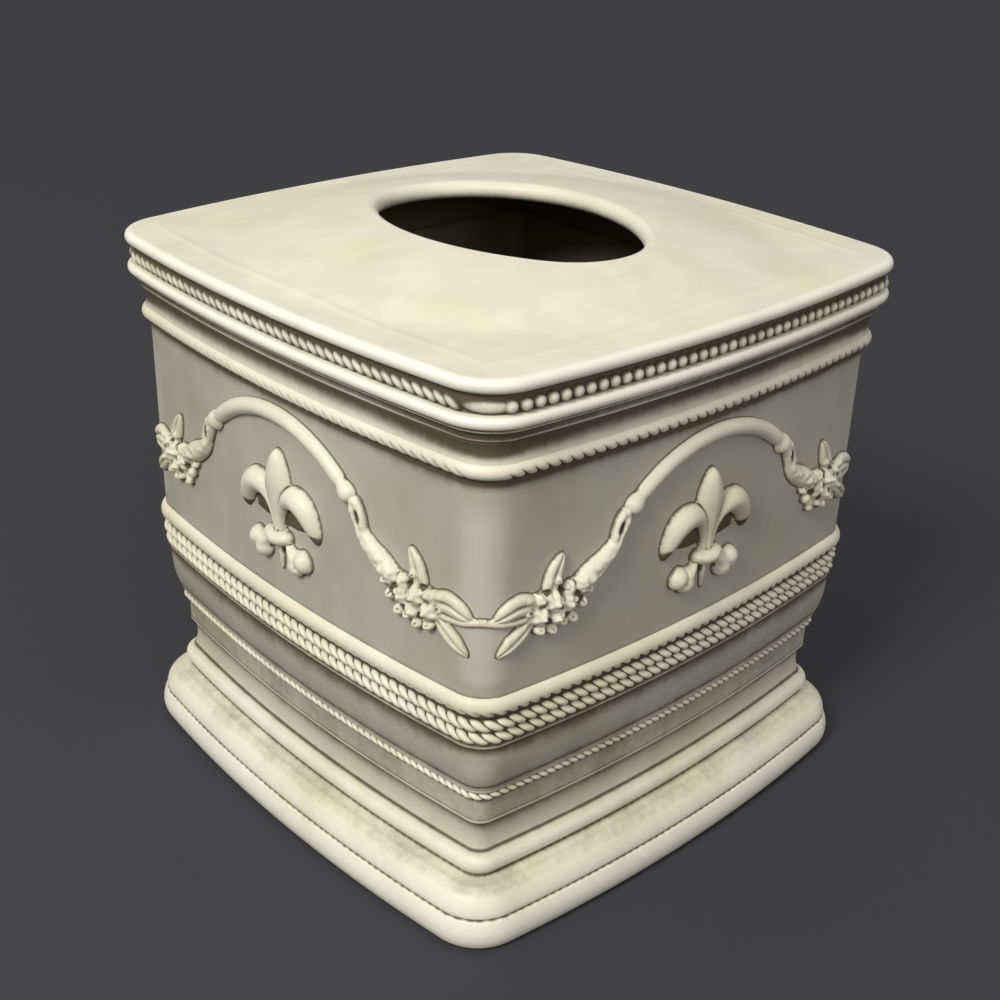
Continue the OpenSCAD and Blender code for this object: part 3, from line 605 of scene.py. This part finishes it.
# The stain is strongest in front of the opening, and next towards the right edge
x, y = cap_rings[..., 0].ravel(), cap_rings[..., 1].ravel()
in_front = np.exp(-((x / 48) ** 2) - ((y + 43) / 17) ** 2)
on_right = np.exp(-(((x - 62) / 16) ** 2))
cap_marks["stain"] = 0.3 + 0.7 * in_front + 0.35 * on_right
piece("cap_casting", cap_rings.reshape(-1, 3), loop_faces(cap_rings), top_paint, ["top_cap"],
      cap_marks)

# Ropes and rolls


# How far a rope's strands lean along the wall for each millimetre down, and its depth behind its seat
STRAND_LEAN = 0.9
COURSE_BACK = 0.5
# Stretch along the wall over which the strands fade out at a plain corner
FADE = 3.0


def course(name, seat, z0, z1, out, replaces, pitch, groove, notch, cover=None, across=15, per_strand=12,
           plain=0.0, narrow=0.4, dark_top=True, wash=0.0, crest=0.25):
    """A half round moulding from z0 to z1 on the course at half width seat, standing out by out, as a rope:
    its grid leans so that the slits between strands follow it, and each strand is a rounded ridge that
    narrows to its ends like a leaf, with notches between the ends. cover gives the strands' depth by height,
    from foot to top, and plain is half the stretch at each corner that has none. The given share darkens all
    with the wash colour; painted shade also darkens the slits and the moulding's lower edge against the wall,
    its upper edge too where dark_top, and crest paints the middle paler as a highlight."""
    length = 4 * quarter_run(seat)
    strands = round(length / pitch)
    n = strands * per_strand
    s = np.arange(n)[None, :] / n * length
    phi = np.linspace(0, math.pi, across)[:, None]
    share = (1 - np.cos(phi)) / 2
    rise = np.sin(phi)
    z = z0 + (z1 - z0) * share + 0 * s
    s = s - STRAND_LEAN * (z - (z0 + z1) / 2)
    # Points crowd towards the slits, where the surface turns most
    phase = (np.arange(n)[None, :] / per_strand) % 1.0
    t = np.sin(math.pi * (phase - 0.5)) * 0.35 + (2 * phase - 1) * 0.65
    s = s + (t - (2 * phase - 1)) / 2 * length / strands
    bump = np.sqrt(np.clip(1 - (t / (1 - narrow * (1 - rise))) ** 2, 0, 1))
    cover_here = (cover(share) if cover else 1.0) + 0 * s
    if plain:
        quarter = quarter_run(seat)
        from_side = np.abs(np.mod(s + quarter / 2, quarter) - quarter / 2)
        cover_here = cover_here * np.clip((quarter / 2 - plain - from_side) / FADE, 0, 1)
    # Painted shade along the moulding's edges against the wall and in the slits between strands, and a
    # painted highlight along its crest
    edge = np.clip(1 - 1.6 * rise, 0, 1) * (1.0 if dark_top else (share < 0.5))
    slit = np.clip((0.66 - bump) / 0.5, 0, 1)
    hollow_here = np.maximum(wash + 1.1 * edge - crest * rise, 1.2 * slit * np.clip(cover_here * 1.3, 0, 1))
    z = z + notch * (1 - bump) * cover_here * (1 - 2 * share)
    w = (out + COURSE_BACK) * rise - COURSE_BACK
    w = w - groove * (1 - bump) * cover_here * np.clip(rise * 1.4, 0, 1)
    # The back closes the moulding behind its seat
    low = np.arange(n)
    beside = (low + 1) % n
    top = (across - 1) * n
    faces = np.concatenate([ring_faces(across, n), np.stack([low, top + low, top + beside, beside], -1)])
    marks = {"hollow": np.clip(hollow_here, -1, 1.2)}
    piece(name, raised(seat, s, z, w), faces, rope_paint, replaces, marks)


# Beads: half width of their middles, their height, and the size of the long one at each corner
BEAD_W, BEAD_Z = 74.0, 138.65
CORNER_BEAD = (6.0, 1.55, 1.25)


def unit_ball(rows=9, columns=14):
    """Points of a ball of radius 1, its faces of four and its faces of three corners."""
    theta = np.linspace(0, math.pi, rows)[1:-1, None]
    psi = -np.arange(columns)[None, :] / columns * 2 * math.pi
    ball = np.stack([np.sin(theta) * np.cos(psi), np.sin(theta) * np.sin(psi), np.cos(theta) + 0 * psi], -1)
    ball = np.vstack([ball.reshape(-1, 3), [[0, 0, 1], [0, 0, -1]]])
    k = np.arange(columns)
    beside = (k + 1) % columns
    last = (rows - 3) * columns
    pole = (rows - 2) * columns
    caps = np.concatenate([np.stack([0 * k + pole, beside, k], -1),
                           np.stack([last + k, last + beside, 0 * k + pole + 1], -1)])
    return ball, ring_faces(rows - 2, columns), caps


def beads(name, turns, pitch, size, lean, wash, plain):
    """Beads in the lip's groove on the sides given by quarter turns: ellipsoids whose size is half their
    length, height and depth, and which lean down towards the right. Each quarter also has one long plain bead
    at its corner, and plain is half the stretch there that has no others."""
    ball, quads, caps = unit_ball()
    quarter = quarter_run(BEAD_W)
    number = int(2 * (quarter / 2 - plain) / pitch)
    row = [((k - (number - 1) / 2) * pitch, size, lean) for k in range(number)]
    points, marks = [], []
    for turn in turns:
        for at, half, tilt in row + [(quarter / 2, CORNER_BEAD, 0.0)]:
            local = ball * half
            c, d = math.cos(tilt), math.sin(tilt)
            along = at + turn * quarter + local[:, 0] * c + local[:, 1] * d
            height = BEAD_Z - local[:, 0] * d + local[:, 1] * c
            points.append(raised(BEAD_W, along, height, local[:, 2]))
            # The given wash, with painted shade on each bead's back in the groove and a painted highlight on
            # its front
            marks.append(wash + np.clip(1.05 - 1.35 * ball[:, 2], -0.25, 1.0))
    many = np.arange(len(points))[:, None, None] * len(ball)
    piece(name, np.concatenate(points), (quads[None] + many).reshape(-1, 4), rope_paint,
          ["lip_beads"], {"hollow": np.concatenate(marks)}, (caps[None] + many).reshape(-1, 3))


beads("lip_beads_sides", (0, 2), 3.25, (1.7, 1.6, 1.6), 0.0, wash=0.48, plain=2.6)
beads("lip_strands_ends", (1, 3), 2.95, (2.6, 1.12, 1.25), math.radians(31), wash=0.5, plain=4.6)
course("neck_strands", WALL_W, 121.3, 125.5, 2.1, ["neck_roll", "neck_cord"], 3.1, groove=0.65, notch=0.6,
       cover=lambda v: np.clip((0.68 - v) / 0.35, 0, 1), across=17, per_strand=10, plain=3.0, narrow=0.35,
       dark_top=False, crest=0.6)
course("band_bead", WALL_W, 63.6, 68.6, 1.45, ["band_roll"], 3.05, groove=0.85, notch=0.7,
       cover=lambda v: np.clip((0.42 - v) / 0.2, 0, 1), across=21, per_strand=10, dark_top=False, crest=0.95)
course("band_strands_upper", 70.8, 59.4, 62.8, 1.4, ["band_rope_upper"], 3.05, groove=1.0, notch=0.55,
       wash=0.26)
course("band_strands_lower", 70.5, 55.8, 59.2, 1.35, ["band_rope_lower"], 3.05, groove=1.0, notch=0.55,
       wash=0.22)
course("plinth_strands", 67.0, 38.0, 40.4, 1.3, ["plinth_rope"], 2.3, groove=0.7, notch=0.5, across=13,
       per_strand=9, wash=0.42)

# Relief


def resampled(points, n=36):
    """Stations joined by a smooth curve (Catmull-Rom) through all of them, n steps in all."""
    p = np.array(points, float)
    p = np.vstack([2 * p[0] - p[1], p, 2 * p[-1] - p[-2]])
    t = np.linspace(0, len(p) - 3 - 1e-9, n + 1)
    i = t.astype(int)
    f = (t - i)[:, None]
    a, b, c, d = p[i], p[i + 1], p[i + 2], p[i + 3]
    out = 0.5 * (2 * b + (c - a) * f + (2 * a - 5 * b + 4 * c - d) * f**2 + (3 * b - a - 3 * c + d) * f**3)
    out[:, 2:] = np.maximum(out[:, 2:], 0.15)
    return out


# Slope in which each section falls away past its edge
FALL = 7.0
# A leaf's crease: its reach in shares of the half width, and its wash with painted shade
CREASE_W, CREASE_WASH_AND_SHADE = 0.17, 1.8


def round_section(x):
    """Half round: the circle's height at x."""
    return np.where(np.abs(x) < 0.96, np.sqrt(np.clip(1 - x * x, 0, 1)), 0.28 - FALL * (np.abs(x) - 0.96))


def petal_section(x):
    """A fuller round with a soft ridge along its middle."""
    full = np.where(np.abs(x) < 0.96, (1 - np.abs(x) ** 2.6) ** 0.6, 0.26 - FALL * (np.abs(x) - 0.96))
    return full * (0.93 + 0.07 * np.exp(-((x / 0.35) ** 2)))


def leaf_section(x):
    """A leaf: a low lens, fullest half way to its edges."""
    ax = np.abs(x)
    lens = np.clip(1 - ax ** 3, 0, 1) ** 0.6 * (0.8 + 0.25 * ax)
    return np.where(ax < 0.94, lens, 0.36 - FALL * (ax - 0.94))


def flat_section(x):
    """A soft ribbon, flatter than a half round."""
    return np.where(np.abs(x) < 0.95, (1 - np.abs(x) ** 3) ** 0.8, 0.21 - FALL * (np.abs(x) - 0.95))


class Relief:
    """Heights over a flat grid of u along the wall and z up it. z is given from the underside of the lower
    casting. Where side is -1, the shapes are mirrored about u = 0."""

    def __init__(self, u0, u1, z0, z1, step=0.2):
        self.step = step
        self.side = 1
        self.U, self.Z = np.meshgrid(np.arange(u0, u1 + step / 2, step),
                                     np.arange(z0 + FOOT_Z, z1 + FOOT_Z + step / 2, step))
        self.h = np.full(self.U.shape, -2.0)
        self.dark = np.full(self.U.shape, -1.0)

    def join(self, h, soft=0.0):
        """Takes the higher surface, eased where both are within soft of each other."""
        if soft:
            near = np.clip(soft - np.abs(self.h - h), 0, None) / soft
            self.h = np.maximum(self.h, h) + near**2 * soft / 4
        else:
            self.h = np.maximum(self.h, h)

    def ridge(self, points, section=round_section, soft=0.25, wash=-1.0, crease=0.0):
        """A ridge along stations of u, z, half width and height, toned by the given share of wash, with a
        crease along its middle as a share of its height, darkened with wash and painted shade."""
        p = np.array(points, float)
        p[:, 0] *= self.side
        p[:, 1] += FOOT_Z
        p = resampled(p)
        best = np.full(self.U.shape, -9.0)
        nearest = np.full(self.U.shape, 9.0)
        for a, b in zip(p[:-1], p[1:]):
            d = b[:2] - a[:2]
            length = max(float(np.hypot(*d)), 1e-6)
            du, dz = self.U - a[0], self.Z - a[1]
            t = np.clip((du * d[0] + dz * d[1]) / length**2, 0, 1)
            r = a[2] + (b[2] - a[2]) * t
            height = a[3] + (b[3] - a[3]) * t
            far = np.hypot(du - t * d[0], dz - t * d[1]) / r
            nearest = np.minimum(nearest, far)
            best = np.maximum(best, height * section(np.clip(far, 0, 1.6)))
        middle = np.exp(-((nearest / CREASE_W) ** 2))
        best = best - crease * p[:, 3].max() * middle
        on_top = (best > self.h) & (best > 0.1)
        tone = np.maximum(wash, CREASE_WASH_AND_SHADE * crease * middle - 0.2)
        self.dark = np.where(on_top, tone, self.dark)
        self.join(best, soft)

    def off(self, u, z, r, squash, lean):
        """Distance from u, z in shares of r, along a leaning axis and squash times that across it."""
        c, s = math.cos(lean), math.sin(lean * self.side)
        du, dz = self.U - u * self.side, self.Z - (z + FOOT_Z)
        return np.hypot(du * c + dz * s, (-du * s + dz * c) / squash) / r

    def ball(self, u, z, r, height, soft=0.2, squash=1.0, lean=0.0):
        """A rounded boss."""
        self.join(height * round_section(np.clip(self.off(u, z, r, squash, lean), 0, 1.6)), soft)

    def blossom(self, u, z, r, height, petals, turn, eye=0.2, cup=0.2):
        """A blossom: petals as lobes round a hollow ring with a raised eye. It isn't mirrored."""
        du, dz = self.U - u, self.Z - (z + FOOT_Z)
        far = np.hypot(du, dz)
        angle = np.arctan2(dz, du) + turn
        lobe = np.abs(np.cos(petals * angle / 2))
        reach = r * (0.8 + 0.2 * lobe)
        x = np.clip(far / reach, 0, 1.5)
        section = round_section(x)
        crest = np.where(section > 0, np.abs(section) ** 1.4, section) * (0.78 + 0.22 * lobe)
        hollow_here = cup * np.exp(-(((x - 0.36) / 0.16) ** 2))
        centre = 0.16 * np.exp(-((far / (eye * r)) ** 2))
        self.join(height * (crest - hollow_here + centre), 0.12)

    def carve(self, u, z, r, depth, squash=1.0, lean=0.0, wash=0.0):
        """A soft pit, with dark wash and painted shade pooled in it."""
        soft = np.exp(-(self.off(u, z, r, squash, lean) ** 2) * 1.4)
        self.h = self.h - depth * soft
        self.dark = np.maximum(self.dark, wash * soft)

    def roughen(self, u0, u1, z0, z1, seed, height, size=0.55, ease=0.36):
        """Uneven modelling between the given limits, of lumps about size across, where the relief stands up,
        then eased over ease."""
        field = np.random.default_rng(seed).normal(size=self.h.shape)
        field = blur_both(field, size / self.step)
        field /= field.std()
        z0, z1 = z0 + FOOT_Z, z1 + FOOT_Z
        inside_u = np.minimum(self.U - u0, u1 - self.U)
        middle = np.clip(np.minimum(inside_u, np.minimum(self.Z - z0, z1 - self.Z)), 0, 1)
        middle = middle * np.clip((self.near(0.6) - 0.7) / 0.3, 0, 1)
        self.h = self.h + height * np.clip(field, -2, 2) * middle * np.clip((self.h - 0.6) / 1.2, 0, 1)
        even = blur_both(np.clip(self.h, 0, None), ease / self.step)
        self.h = self.h + (even - self.h) * middle

    def pool(self, u, z, r, level, amount=1.1, squash=1.0, lean=0.0):
        """Dark wash and painted shade pooled round u, z where the relief is lower than level."""
        soft = np.clip(1.5 - self.off(u, z, r, squash, lean), 0, 0.5) * 2
        low = np.clip((level - self.h) / 0.5, 0, 1)
        self.dark = np.maximum(self.dark, amount * soft * low)

    def near(self, reach):
        """Share of the surroundings that the relief covers: a half on its outline."""
        return blur_both((self.h > 0).astype(float), reach / self.step)

    def finish(self, wide=1.5, tight=0.6):
        """Lays a thin film round the foot, dark where the wash gathers against the wall and as painted shade
        where the relief meets it, and marks how hollow each point is against its surroundings, wide and
        tight: wash and painted shade in the hollows, rubbed paint and painted highlights where it stands
        proud."""
        cover = self.near(0.4)
        self.h = np.maximum(self.h, 0.2 * cover - 0.06)
        h = np.clip(self.h, 0, None)
        in_wide, in_tight = (blur_both(h, reach / self.step) - h for reach in (wide, tight))
        form = 0.8 * (in_wide / 1.6 + in_tight / 0.6)
        foot = np.clip((0.68 - cover) / 0.2, 0, 1)
        form = form * np.clip((cover - 0.62) / 0.3, 0, 1) + 0.95 * foot
        self.hollow = np.clip(np.maximum(form, self.dark), -0.8, 1.2)
        return self


# How far the edge of a relief is sunk in the wall, and how far in the fan that closes its back is drawn
SINK = 0.45
FAN_IN = 0.985


def set_on_wall(name, relief, turn, mirrored, replaces, shift=0.0):
    """The relief bent round the wall on the side given by quarter turns, shift along it, its edge sunk in the
    wall, and its back closed by a fan inside the wall."""
    keep = relief.h > -SINK
    cell = keep[:-1, :-1] | keep[1:, :-1] | keep[:-1, 1:] | keep[1:, 1:]
    rows, columns = relief.h.shape
    index = np.arange(rows * columns).reshape(rows, columns)
    quads = np.stack([index[:-1, :-1], index[:-1, 1:], index[1:, 1:], index[1:, :-1]], -1)[cell]
    h = np.maximum(relief.h, -SINK)
    u = -relief.U if mirrored else relief.U
    grid = raised(WALL_W, u + shift + turn * quarter_run(WALL_W), relief.Z, h)
    if mirrored:
        quads = quads[:, ::-1]
    used, small = np.unique(quads, return_inverse=True)
    quads = small.reshape(quads.shape)
    grid = grid[used]
    marks = relief.hollow.ravel()[used]
    # Edges that belong to one face only make the border, which the fan closes
    a = quads.ravel()
    b = np.roll(quads, -1, axis=1).ravel()
    code = a.astype(np.int64) * len(grid) + b
    reverse = b.astype(np.int64) * len(grid) + a
    border = ~np.isin(reverse, code)
    centre = len(grid)
    fan = np.stack([b[border], a[border], np.full(border.sum(), centre)], -1)
    middle = grid[np.unique(a[border])].mean(0)
    grid = np.vstack([grid, middle * [FAN_IN, FAN_IN, 1]])
    piece(name, grid, quads, relief_paint, replaces, {"hollow": np.append(marks, 1.0)}, fan)


def fleur_relief():
    """The fleur-de-lis, about the middle of a side."""
    f = Relief(-17.5, 17.5, 73, 109)
    for side in (1, -1):
        f.side = side
        # Ground of the hollow behind each hooked petal, the petal and the lobe
        f.ridge([[3, 89.6, 1.6, 0.4], [6.4, 90.8, 2.6, 0.4], [9.6, 91, 2.2, 0.4]])
        f.ridge([[1.1, 86, 0.8, 1.8], [1.6, 90, 0.9, 2.1], [2.8, 93.6, 1.5, 2.7], [5, 95.9, 2.8, 3.3],
                 [8, 96.4, 3.4, 3.7], [10.8, 94.9, 3.3, 3.5], [12.8, 92, 2.6, 2.8],
                 [13.8, 89.6, 1.7, 1.9], [14, 87.9, 0.8, 1]], petal_section, soft=0.5)
        f.ball(9.1, 80.9, 2.7, 3.3, 0.15, 1.1, 0.4)
        f.ball(6.6, 79, 2.8, 3.2, 0.15, 0.95, -0.7)
        f.ridge([[6.2, 80.6, 2.2, 2.9], [4.8, 81.8, 1.3, 2.4], [3.6, 82.9, 0.8, 1.8]], soft=0.5)
    # Middle petal, the tail under the collar and the collar
    f.side = 1
    f.ridge([[0, 86, 1.3, 2.2], [0, 90, 1.6, 2.4], [0, 94, 2.7, 2.9], [0, 97.4, 3.9, 3.2],
             [0, 100, 4.2, 3.3], [0, 102.6, 3.4, 3], [0, 104.8, 2.1, 2.5], [0, 106.2, 1, 1.7],
             [0, 106.8, 0.4, 0.9]], petal_section, soft=0.2)
    f.ridge([[0, 82, 0.9, 1.4], [0, 78.5, 0.7, 1.1], [0, 75.4, 0.35, 0.6]])
    f.ridge([[-3.2, 84.9, 1.6, 3.1], [-1.6, 84.5, 2.1, 3.8], [0, 84.3, 2.2, 4], [1.6, 84.5, 2.1, 3.8],
             [3.2, 84.9, 1.6, 3.1]], soft=0.1)
    # Dark wash and painted shade in each lobe's dent, behind the petal, at its tip, under the lobe and beside
    # the tail
    for side in (1, -1):
        f.side = side
        f.carve(8.3, 79.5, 0.4, 0.6, 2.2, -0.65, 0.3)
        f.pool(5.6, 90.2, 3.6, 1.2, 1.05, 0.9, 0.5)
        f.pool(13.9, 87.9, 1.9, 2.6, 0.85)
        f.pool(8.2, 76.9, 2.6, 1.4, 0.9, 0.4, 0.35)
        f.pool(2.6, 80.8, 1.7, 1.4, 1.1)
    return f.finish()


def garland_relief():
    """A garland, from below the arch's knob to the corner."""
    g = Relief(26.4, 66.6, 75.5, 106)
    # A looped bar below the arch's knob, then the ribbon of the swag
    g.ridge([[28.4, 104.2, 1.4, 2], [28.7, 102, 1.1, 2.2], [29.5, 99.8, 1, 2.1],
             [30.6, 97.8, 1.1, 2.3]], soft=0.3)
    g.ridge([[29.6, 104, 1.2, 1.9], [31, 101.8, 0.9, 2], [31.6, 99.6, 0.9, 2.2],
             [31.9, 97.6, 1, 2.2]], soft=0.3)
    g.ridge([[30.8, 98, 1.5, 1.9], [32.6, 95.9, 2.2, 2.2], [35.2, 93.9, 2.6, 2.4], [38, 92.4, 2.9, 2.9],
             [40.2, 91.6, 2.2, 3]], flat_section)
    # Leaves, and the tendril that runs out to the corner
    g.ridge([[50, 88.4, 1.4, 1.6], [49.5, 92, 2.1, 1.9], [48.4, 95.2, 2.3, 1.8], [47.1, 97.8, 1.5, 1.4],
             [46.3, 99.2, 0.5, 0.7]], leaf_section, 0.1, wash=0.24, crease=0.4)
    g.ridge([[53.2, 88.4, 1.6, 1.8], [55.8, 89.6, 2.6, 2.1], [58.6, 89.7, 2.8, 2], [61.2, 88.7, 2, 1.6],
             [63.4, 87.4, 0.4, 0.8]], leaf_section, 0.1, wash=0.2, crease=0.36)
    g.ridge([[54.4, 85.4, 1.2, 1.7], [56.8, 83.1, 1.9, 1.9], [59.2, 81.2, 2.1, 1.7], [61.1, 79.7, 1.3, 1.3],
             [62.6, 78.4, 0.4, 0.7]], leaf_section, 0.1, wash=0.28, crease=0.4)
    g.ridge([[53, 87, 1.2, 2], [57, 86.2, 1, 1.6], [61, 86.3, 0.9, 1.2], [64, 86.8, 0.9, 1],
             [66.8, 87.1, 1, 0.9]], wash=0.3)
    # Bed of the flowers and the curls along its lower edge
    g.ridge([[41, 89.6, 2.4, 1.8], [45.5, 86.6, 3.6, 2], [50.5, 85.8, 3.6, 2], [54, 87.2, 2.2, 2]])
    for u, z, r, h, lean in (
            (38.8, 88.6, 1.5, 2.3, 0.4), (40.6, 85.8, 1.8, 2.6, 1.0), (43, 82.6, 1.7, 2.3, 0.6),
            (46, 82.8, 1.5, 2.7, 0.1), (48.9, 81.6, 1.7, 2.5, 0.9), (52.3, 82.4, 1.6, 2.6, 0.3),
            (48, 93.4, 1.3, 2.6, 0.8), (55.3, 87.6, 1.5, 2.9, 0.2)):
        g.ball(u, z, r, h, 0.3, 0.8, lean)
        # A pit beside each curl, dark with wash and painted shade
        g.carve(u + 0.2, z + 0.3, 0.6, 0.9, 0.6, lean, 0.8)
    # Blooms, and the gaps between them, dark with wash and painted shade
    for u, z, r, h, petals, turn in (
            (40.9, 90.6, 2.7, 3.8, 5, 0.3), (44.6, 90.6, 2, 3.5, 4, 0.9), (44.6, 87, 2.7, 4.1, 5, 1.1),
            (49.2, 88.7, 3, 4.6, 5, 0.5), (48, 84.6, 2.3, 4, 4, 0.2), (52.5, 86, 2.8, 4.4, 5, 1.6),
            (52.4, 90, 1.7, 3.7, 4, 0.4)):
        g.blossom(u, z, r, h, petals, turn)
    for u, z, r, lean in (
            (42.6, 88.8, 0.8, 0.9), (47, 87, 0.8, 1.0), (47, 90.4, 0.7, 0.4), (51, 87.6, 0.7, 0.7),
            (45.6, 84.8, 0.8, -0.4), (50.2, 84.4, 0.8, 0.9), (54.9, 87.6, 0.7, 0.8), (41.6, 87, 0.8, 0.4),
            (50.7, 91.4, 0.6, 0.8)):
        g.carve(u, z, r, 1.1, 0.7, lean, 0.95)
        g.pool(u, z, r * 1.3, 2.1, 1)
    # Uneven modelling of the flowers and of the ribbon, and wash and painted shade in the bar's loop and
    # along the tendril
    g.roughen(36.5, 56.5, 79, 95, seed=11, height=0.3)
    g.roughen(27.4, 36, 93, 105, seed=5, height=0.22, size=0.5)
    g.pool(30.1, 101.4, 0.8, 1.9, 1, 2.6, 0.35)
    g.pool(58, 87.4, 4, 1, 0.9, 0.35)
    return g.finish()


FLEUR = fleur_relief()
GARLAND = garland_relief()
# Sides by quarter turns from the right: name, the ends where its garlands are, and the shift of its
# fleur-de-lis. The two that the photograph shows sit a little towards the corner between them
SIDES = (
    ("right", ("rear", "front"), -0.6),
    ("back", ("left", "right"), 0.0),
    ("left", ("front", "rear"), 0.0),
    ("front", ("right", "left"), 0.6),
)
for q, (side, _, shift) in enumerate(SIDES):
    set_on_wall(f"fleur_petals_{side}", FLEUR, q, False, [f"fleur_{side}"], shift)
for q, (side, ends, _) in enumerate(SIDES):
    for end, mirrored in zip(ends, (False, True)):
        set_on_wall(f"garland_flowers_{side}_{end}", GARLAND, q, mirrored, [f"garland_{side}_{end}"])

# Arch: half its angle, radius and the height of its centre over the foot
ARCH_HALF, ARCH_R, ARCH_Z = math.radians(47.0), 38.2, 77.5
# Its half width and height, and how deep its edges are sunk in the wall
ARCH_WIDE, ARCH_TALL, ARCH_SINK = 2.1, 2.3, 0.5
# Along it from each end: the knob and the collar beside it, with their spreads, and the rounding of the end
KNOB_AT, KNOB_SPREAD, COLLAR_AT, COLLAR_SPREAD, END_ROUND = 2.3, 1.5, 5.0, 0.7, 1.2


def ribbon_arch(name, turn, replaces):
    """A half round ribbon bent along an arc on the wall, thicker at its crown, with a knob at each end."""
    n, m = 110, 17
    a = np.linspace(-ARCH_HALF, ARCH_HALF, n)[:, None]
    far = (ARCH_HALF - np.abs(a)) * ARCH_R
    knob = np.exp(-(((far - KNOB_AT) / KNOB_SPREAD) ** 2))
    collar = np.exp(-(((far - COLLAR_AT) / COLLAR_SPREAD) ** 2))
    close = np.sqrt(np.clip(1 - np.clip((END_ROUND - far) / END_ROUND, 0, 1) ** 2, 0, 1))
    wide = (ARCH_WIDE + 0.15 * np.cos(a * 1.6) + 0.55 * knob - 0.25 * collar) * np.maximum(close, 0.03)
    tall = (ARCH_TALL + 0.55 * knob - 0.2 * collar) * np.maximum(close, 0.05)
    phi = np.linspace(0, math.pi, m)[None, :]
    radius = ARCH_R + wide * np.cos(phi)
    u = radius * np.sin(a)
    z = ARCH_Z + FOOT_Z + radius * np.cos(a)
    h = (tall + ARCH_SINK) * np.sin(phi) ** 0.9 - ARCH_SINK
    grid = raised(WALL_W, u + turn * quarter_run(WALL_W), z, h)
    i = np.arange(n - 1)[:, None] * m
    k = np.arange(m - 1)[None, :]
    faces = np.stack([i + k, i + m + k, i + m + k + 1, i + k + 1], -1).reshape(-1, 4)
    i = i[:, 0]
    faces = np.concatenate([faces, np.stack([i + m, i, i + m - 1, i + 2 * m - 1], -1)])
    # Painted shade along the ribbon's edges against the wall, wash and painted shade in the collars, and a
    # painted highlight along its top
    hollow_here = 1.15 * np.clip(1 - h / 0.9, 0, 1) - 0.25 * np.sin(phi) + 0.4 * collar
    piece(name, grid, faces, relief_paint, replaces, {"hollow": hollow_here})


for q, (side, _, _) in enumerate(SIDES):
    ribbon_arch(f"ribbon_arch_{side}", q, [f"arch_{side}"])

# Floor, lamps and camera

# The floor is a disc of this radius in metres
FLOOR_R, FLOOR_SIDES = 6.0, 96
angle = np.linspace(0, 2 * math.pi, FLOOR_SIDES + 1)[:-1]
edge = np.stack([FLOOR_R * np.cos(angle), FLOOR_R * np.sin(angle), 0 * angle], -1)
disc = np.concatenate([[[0, 0, 0]], edge])
k = np.arange(FLOOR_SIDES)
floor_mesh = bpy.data.meshes.new("floor")
floor_mesh.from_pydata(disc.tolist(), [], np.stack([0 * k, k + 1, (k + 1) % FLOOR_SIDES + 1], -1).tolist())
floor = put("floor", floor_mesh)
dark_floor, _, floor_shader = new_material("dark_floor")
floor_shader.inputs["Base Color"].default_value = rgb(56, 56, 60)
floor_shader.inputs["Roughness"].default_value = 0.9
floor_mesh.materials.append(dark_floor)

# Even light from all round, which the camera sees as a nearly black background
SURROUND, BACKGROUND = 0.46, 0.03
world = bpy.data.worlds.new("studio")
bpy.context.scene.world = world
world.use_nodes = True
sky = world.node_tree
glow = sky.nodes["Background"].inputs
seen = node(sky, "ShaderNodeLightPath").outputs["Is Camera Ray"]
glow["Color"].default_value = (1, 1, 1, 1)
feed(sky, glow["Strength"], mapped(sky, seen, 0.0, 1.0, SURROUND, BACKGROUND, "LINEAR"))


def lamp(name, where, size, power, aim=(0, 0, 0.07)):
    """A round lamp, its place and size in metres, turned towards aim."""
    light = bpy.data.lights.new(name, "AREA")
    light.shape = "DISK"
    light.size = size
    light.energy = power
    made = put(name, light)
    made.location = where
    made.rotation_euler = (Vector(aim) - Vector(where)).to_track_quat("-Z", "Y").to_euler()


lamp("key_lamp", (0.22, -0.95, 0.97), 0.45, 11.5)
lamp("side_lamp", (0.96, -0.36, 0.69), 0.7, 2.1)

# The camera that was fitted to the photograph: angles in degrees, metres, and a lens for a 36 mm sensor
AZ, EL, ROLL = math.radians(46.675), math.radians(26.288), math.radians(1.70)
DISTANCE, LENS, SENSOR = 0.39966, 52.645, 36.0
TARGET = Vector((0.00011, 0.00012, 0.07173))
away = Vector((math.sin(AZ) * math.cos(EL), -math.cos(AZ) * math.cos(EL), math.sin(EL)))
right = (-away).cross(Vector((0, 0, 1))).normalized()
up = right.cross(-away)
rolled_right = right * math.cos(ROLL) + up * math.sin(ROLL)
rolled_up = -right * math.sin(ROLL) + up * math.cos(ROLL)
camera_data = bpy.data.cameras.new("camera")
camera_data.lens = LENS
camera_data.sensor_width = SENSOR
camera_data.clip_start = 0.01
camera_data.clip_end = 50.0
camera = put("camera", camera_data)
turned = Matrix((rolled_right, rolled_up, away)).transposed().to_4x4()
turned.translation = TARGET + away * DISTANCE
camera.matrix_world = turned
bpy.context.scene.camera = camera
bpy.context.scene.view_settings.view_transform = "Standard"

bpy.context.view_layer.update()
